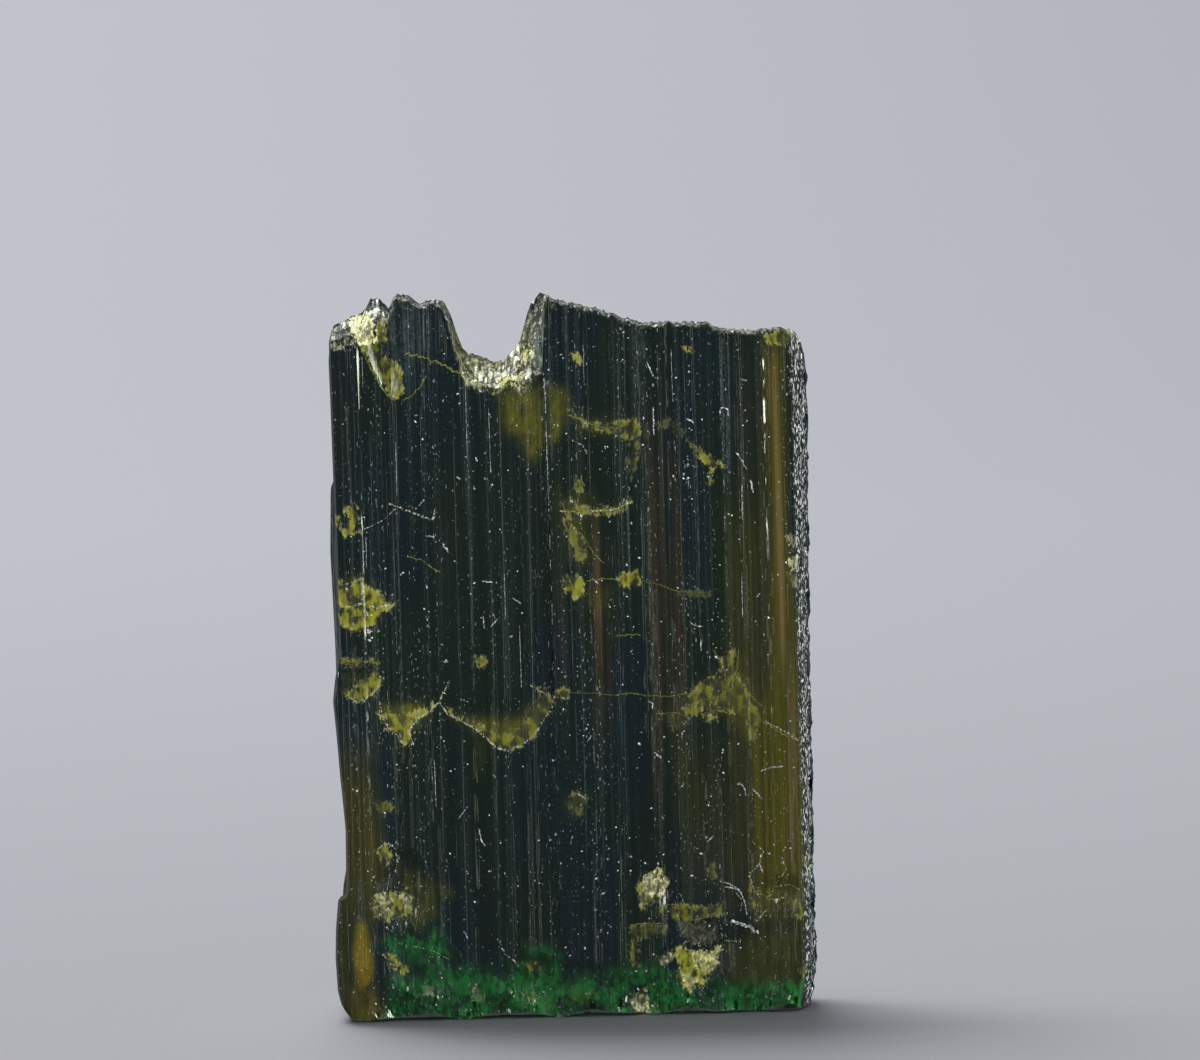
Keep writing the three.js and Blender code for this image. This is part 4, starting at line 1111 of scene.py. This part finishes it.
def thread_mesh(blade, paths, step, source, jitter, height=0.5):
    """Vertices and faces of thin crooked threads that lie on the front face."""
    points, faces = [], []
    for thickness, path in paths:
        knots, reach = route(path)
        places = np.linspace(0, reach[-1], max(3, int(reach[-1] / step) + 1))
        xs = np.interp(places, reach, knots[:, 0])
        zs = np.interp(places, reach, knots[:, 1])
        ring = None
        for i, (x, z) in enumerate(zip(xs, zs)):
            x += source.gauss(0, jitter) * thickness * MM
            z += source.gauss(0, jitter) * thickness * MM
            found = on_face(blade, x, z)
            if not found:
                ring = None
                continue
            spot, out = found
            way = Vector((xs[min(i + 1, len(xs) - 1)] - xs[max(i - 1, 0)], 0,
                          zs[min(i + 1, len(zs) - 1)] - zs[max(i - 1, 0)]))
            side = way.cross(out).normalized()
            ends = i in (0, len(xs) - 1)
            size = thickness * MM * (0.25 if ends else source.uniform(0.45, 1.1))
            start = len(points)
            for across, up in ((-1, -0.25), (-0.45, height), (0.45, height), (1, -0.25)):
                points.append(spot + side * across * size + out * up * size)
            if ring is not None:
                for k in range(4):
                    n = (k + 1) % 4
                    faces.append((ring + k, start + k, start + n, ring + n))
            else:
                faces.append(tuple(start + k for k in range(4)))
            ring = start
            if i == len(xs) - 1:
                faces.append(tuple(start + k for k in reversed(range(4))))
    return points, faces


def add_flake(points, faces, spot, out, size, source):
    """Adds one small irregular eight-sided flake that sits half in the face."""
    start = len(points)
    turn = source.uniform(0, math.pi)
    stretch = source.uniform(1, 2.2)
    side = Vector((math.cos(turn), 0, math.sin(turn)))
    side = (side - out * side.dot(out)).normalized()
    up = out.cross(side)
    corners = (side * stretch, up, -side * stretch, -up, out * 0.7, -out * 0.4)
    points.extend(spot + c * size * source.uniform(0.7, 1.2) for c in corners)
    for a, b in ((0, 1), (1, 2), (2, 3), (3, 0)):
        faces.append((start + a, start + b, start + 4))
        faces.append((start + b, start + a, start + 5))


def mesh_piece(name, points, faces, material):
    """Makes a finished closed piece from points and faces, with its faces looking out."""
    clean_start(name)
    mesh = bpy.data.meshes.new(name)
    mesh.from_pydata(points, [], faces)
    piece = bpy.data.objects.new(name, mesh)
    bpy.context.scene.collection.objects.link(piece)
    bpy.context.view_layer.objects.active = piece
    piece.select_set(True)
    bpy.ops.object.mode_set(mode="EDIT")
    bpy.ops.mesh.select_all(action="SELECT")
    bpy.ops.mesh.normals_make_consistent(inside=False)
    bpy.ops.object.mode_set(mode="OBJECT")
    mesh.materials.append(material)
    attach(piece, "root")
    keep_lit(piece)


# Crumbs along a crack: how far they stray, in its thicknesses, and how far apart their crowds
# are, in millimetres
RIM_SPREAD, RIM_WAVE = 0.55, 0.09
RIM_CREAM = (0.85, 0.85, 0.62)
LINE_LIME = (0.36, 0.36, 0.05)
LINT_WHITE = (0.95, 0.98, 1.0)
# Where the specks lie, with more of them on the part right of the step line
LEFT_PART, RIGHT_PART = (-9.2, -0.6), (-0.6, 9.3)
RIGHT_CHANCE = 0.62
DUSTY_HEIGHTS = 0.3, 28.4


class EPIDOTE_OT_crack_rims(bpy.types.Operator):
    """Lay the white crinkled rims of the cracks on the front face"""

    bl_idname = "epidote.crack_rims"
    bl_label = "Crack rims"

    def execute(self, context):
        blade = bpy.data.objects[BLADE]
        source = random.Random(SEED)
        step = context.scene.epidote_sizes.thread_step / 5
        points, faces = [], []
        for thickness, path in RIMS:
            knots, reach = route(path)
            spread = RIM_SPREAD * thickness * MM
            for _ in range(int(reach[-1] / step)):
                place = source.uniform(0, reach[-1])
                if source.random() < 0.5 * math.sin(place / (RIM_WAVE * MM)):
                    continue
                x = np.interp(place, reach, knots[:, 0]) + source.gauss(0, spread)
                z = np.interp(place, reach, knots[:, 1]) + source.gauss(0, spread)
                found = on_face(blade, x, z)
                if found:
                    size = spread * (0.2 + 1.7 * source.random() ** 4)
                    add_flake(points, faces, *found, size, source)
        material = plain_material("crack_rim", RIM_CREAM, 0.5, 0.35)
        mesh_piece("crack_rims", points, faces, material)
        return {"FINISHED"}


class EPIDOTE_OT_crack_lines(bpy.types.Operator):
    """Lay the thin lime lines of the cracks on the front face"""

    bl_idname = "epidote.crack_lines"
    bl_label = "Crack lines"

    def execute(self, context):
        blade = bpy.data.objects[BLADE]
        step = context.scene.epidote_sizes.thread_step
        source = random.Random(SEED + 1)
        points, faces = thread_mesh(blade, LIME_LINES, step, source, 0.5, 0.15)
        material = plain_material("crack_line", LINE_LIME, 0.75, 0.4)
        mesh_piece("crack_lines", points, faces, material)
        return {"FINISHED"}


class EPIDOTE_OT_fibres(bpy.types.Operator):
    """Lay the fibres, scratches and hairlines on the front face"""

    bl_idname = "epidote.fibres"
    bl_label = "Fibres"

    def execute(self, context):
        blade = bpy.data.objects[BLADE]
        step = context.scene.epidote_sizes.thread_step
        points, faces = thread_mesh(blade, FIBRES, step, random.Random(SEED + 3), 0.35)
        # Fibres with a faint painted glint
        material = plain_material("fibre", LINT_WHITE, 0.84, 0.5, 0.4, 0.7, 0.2)
        mesh_piece("fibres", points, faces, material)
        return {"FINISHED"}


class EPIDOTE_OT_dust(bpy.types.Operator):
    """Scatter the specks on the front face"""

    bl_idname = "epidote.dust"
    bl_label = "Dust"

    def execute(self, context):
        blade = bpy.data.objects[BLADE]
        sizes = context.scene.epidote_sizes
        source = random.Random(SEED + 2)
        points, faces = [], []
        for _ in range(sizes.speck_count):
            side = RIGHT_PART if source.random() < RIGHT_CHANCE else LEFT_PART
            x = source.uniform(*side)
            z = source.uniform(*DUSTY_HEIGHTS)
            found = on_face(blade, x * MM, z * MM)
            crowd = 0.5 + 1.1 * noise.noise(Vector((x * 1.1, 0, z * 0.4)))
            if not found or source.random() > crowd:
                continue
            size = sizes.speck_radius * (0.3 + 1.9 * source.random() ** 7)
            add_flake(points, faces, *found, size, source)
        # Dust specks with a faint painted glint
        material = plain_material("dust", LINT_WHITE, 0.92, 0.6, 0.42, 0.68, 0.4)
        mesh_piece("dust", points, faces, material)
        return {"FINISHED"}


def area_light(name, size, place, target, power, receivers=None):
    """A soft lamp that looks at a target, in millimetres, and lights all or just some objects."""
    data = bpy.data.lights.new(name, "AREA")
    data.shape = "RECTANGLE"
    data.size, data.size_y = (s * MM for s in size)
    data.energy = power
    lamp = bpy.data.objects.new(name, data)
    lamp.location = Vector(place) * MM
    way = Vector(target) * MM - lamp.location
    lamp.rotation_euler = way.to_track_quat("-Z", "Y").to_euler()
    bpy.context.scene.collection.objects.link(lamp)
    if receivers:
        lamp.light_linking.receiver_collection = receivers


# Floor that bends up into a wall behind the crystal, in metres
SWEEP_SIZE, WALL_HEIGHT, BEND_RADIUS, BEND_STEPS = 2.4, 1.6, 0.7, 24
SWEEP_GREY = (0.71, 0.72, 0.77, 1)
SKY_COLOUR, SKY_STRENGTH = (0.9, 0.93, 1, 1), 0.115
# Lamps: name, size, place, target and watts. The first ones light the sweep and all on it, and
# the others the crystal alone.
SWEEP_LAMPS = [
    ("sweep_light", (700, 700), (-300, 520, 1000), (-220, 520, 0), 7.2),
    ("floor_light", (200, 200), (-60, 60, 400), (-20, 60, 0), 0.2),
]
CRYSTAL_LAMPS = [
    ("top_light", (160, 120), (-60, 60, 260), (0, 0, 20), 0.6),
    ("fill_left", (120, 160), (-260, -170, 160), (0, 0, 14), 0.6),
    ("fill_right", (60, 160), (260, -60, 90), (5, 0, 14), 0.6),
    ("strip_left", (14, 220), (-95, -250, 40), (0, 0, 14), 0.02),
    ("strip_right", (14, 220), (120, -240, 40), (0, 0, 14), 0.02),
]
# Camera: where its middle looks on the front face, how far away it stands, its angles, its
# focal length in picture widths, its sensor's width, and its clipping in metres
AIM = (1.27, -HALF_THICKNESS, 19.59)
DISTANCE = 220.0
ELEVATION = 2.5
ROLL = -1.5
FOCAL_WIDTHS = 5500 / 1200
SENSOR = 36.0
CLIPPING = 0.01, 20


def lay_sweep():
    """Lays the floor and bends it up into the wall."""
    clean_start("sweep")
    bpy.ops.mesh.primitive_plane_add(size=SWEEP_SIZE, location=(0, 0, 0))
    sweep = bpy.context.object
    sweep.name = "sweep"
    far = 0.4 * SWEEP_SIZE
    bpy.ops.object.mode_set(mode="EDIT")
    bpy.ops.mesh.select_mode(type="EDGE")
    pick_edges(lambda edge: all(v.co.y > far for v in edge.verts))
    bpy.ops.mesh.extrude_region_move(TRANSFORM_OT_translate={"value": (0, 0, WALL_HEIGHT)})
    pick_edges(lambda edge: all(v.co.y > far and v.co.z < 0.01 for v in edge.verts))
    bpy.ops.mesh.bevel(offset=BEND_RADIUS, segments=BEND_STEPS, affect="EDGES")
    bpy.ops.object.mode_set(mode="OBJECT")
    bpy.ops.object.shade_smooth()
    material, _, shader = new_material("sweep")
    feed(shader, "Base Color", SWEEP_GREY)
    feed(shader, "Roughness", 0.9)
    feed(shader, "Specular IOR Level", 0.1)
    sweep.data.materials.append(material)
    sweep.visible_glossy = False


def hang_lamps(scene):
    """Gives the scene its sky and its soft lamps."""
    world = bpy.data.worlds.new("studio")
    world.use_nodes = True
    sky = world.node_tree.nodes["Background"]
    feed(sky, "Color", SKY_COLOUR)
    feed(sky, "Strength", SKY_STRENGTH)
    scene.world = world
    for lamp in SWEEP_LAMPS:
        area_light(*lamp)
    for lamp in CRYSTAL_LAMPS:
        area_light(*lamp, bpy.data.collections[LIT])


def place_camera(scene):
    """Sets the camera up at the angle of the reference view."""
    data = bpy.data.cameras.new("camera")
    data.sensor_width = SENSOR
    data.lens = SENSOR * FOCAL_WIDTHS
    data.clip_start, data.clip_end = CLIPPING
    camera = bpy.data.objects.new("camera", data)
    scene.collection.objects.link(camera)
    tilt = math.radians(ELEVATION)
    back = Vector((0, -math.cos(tilt), math.sin(tilt)))
    camera.location = Vector(AIM) * MM + back * DISTANCE * MM
    level = (-back).to_track_quat("-Z", "Y").to_matrix()
    roll = Matrix.Rotation(math.radians(ROLL), 3, "Z")
    camera.rotation_euler = (level @ roll).to_euler()
    scene.camera = camera
    scene.view_settings.view_transform = "Standard"


class EPIDOTE_OT_stage(bpy.types.Operator):
    """Lay the pale floor and sweep, and set the lights and the camera"""

    bl_idname = "epidote.stage"
    bl_label = "Stage"

    def execute(self, context):
        lay_sweep()
        hang_lamps(context.scene)
        place_camera(context.scene)
        return {"FINISHED"}


class EPIDOTE_PT_panel(bpy.types.Panel):
    """Sidebar panel with the sizes, the colours and a button for each step"""

    bl_idname = "EPIDOTE_PT_panel"
    bl_label = "Epidote Crystal"
    bl_space_type = "VIEW_3D"
    bl_region_type = "UI"
    bl_category = "Epidote"

    def draw(self, context):
        for group in (context.scene.epidote_sizes, context.scene.epidote_looks):
            for key in group.__annotations__:
                self.layout.prop(group, key)
        for operator in OPERATORS:
            self.layout.operator(operator.bl_idname)


OPERATORS = (
    EPIDOTE_OT_crystal, EPIDOTE_OT_crack_rims, EPIDOTE_OT_crack_lines, EPIDOTE_OT_fibres,
    EPIDOTE_OT_dust, EPIDOTE_OT_stage,
)
CLASSES = (EpidoteLooks, EpidoteSizes, *OPERATORS, EPIDOTE_PT_panel)


def register():
    for each in CLASSES:
        bpy.utils.register_class(each)
    bpy.types.Scene.epidote_looks = bpy.props.PointerProperty(type=EpidoteLooks)
    bpy.types.Scene.epidote_sizes = bpy.props.PointerProperty(type=EpidoteSizes)


def unregister():
    del bpy.types.Scene.epidote_sizes
    del bpy.types.Scene.epidote_looks
    for each in reversed(CLASSES):
        bpy.utils.unregister_class(each)


def main():
    register()
    bpy.ops.epidote.crystal()
    bpy.ops.epidote.crack_rims()
    bpy.ops.epidote.crack_lines()
    bpy.ops.epidote.fibres()
    bpy.ops.epidote.dust()
    bpy.ops.epidote.stage()


if __name__ == "__main__":
    main()
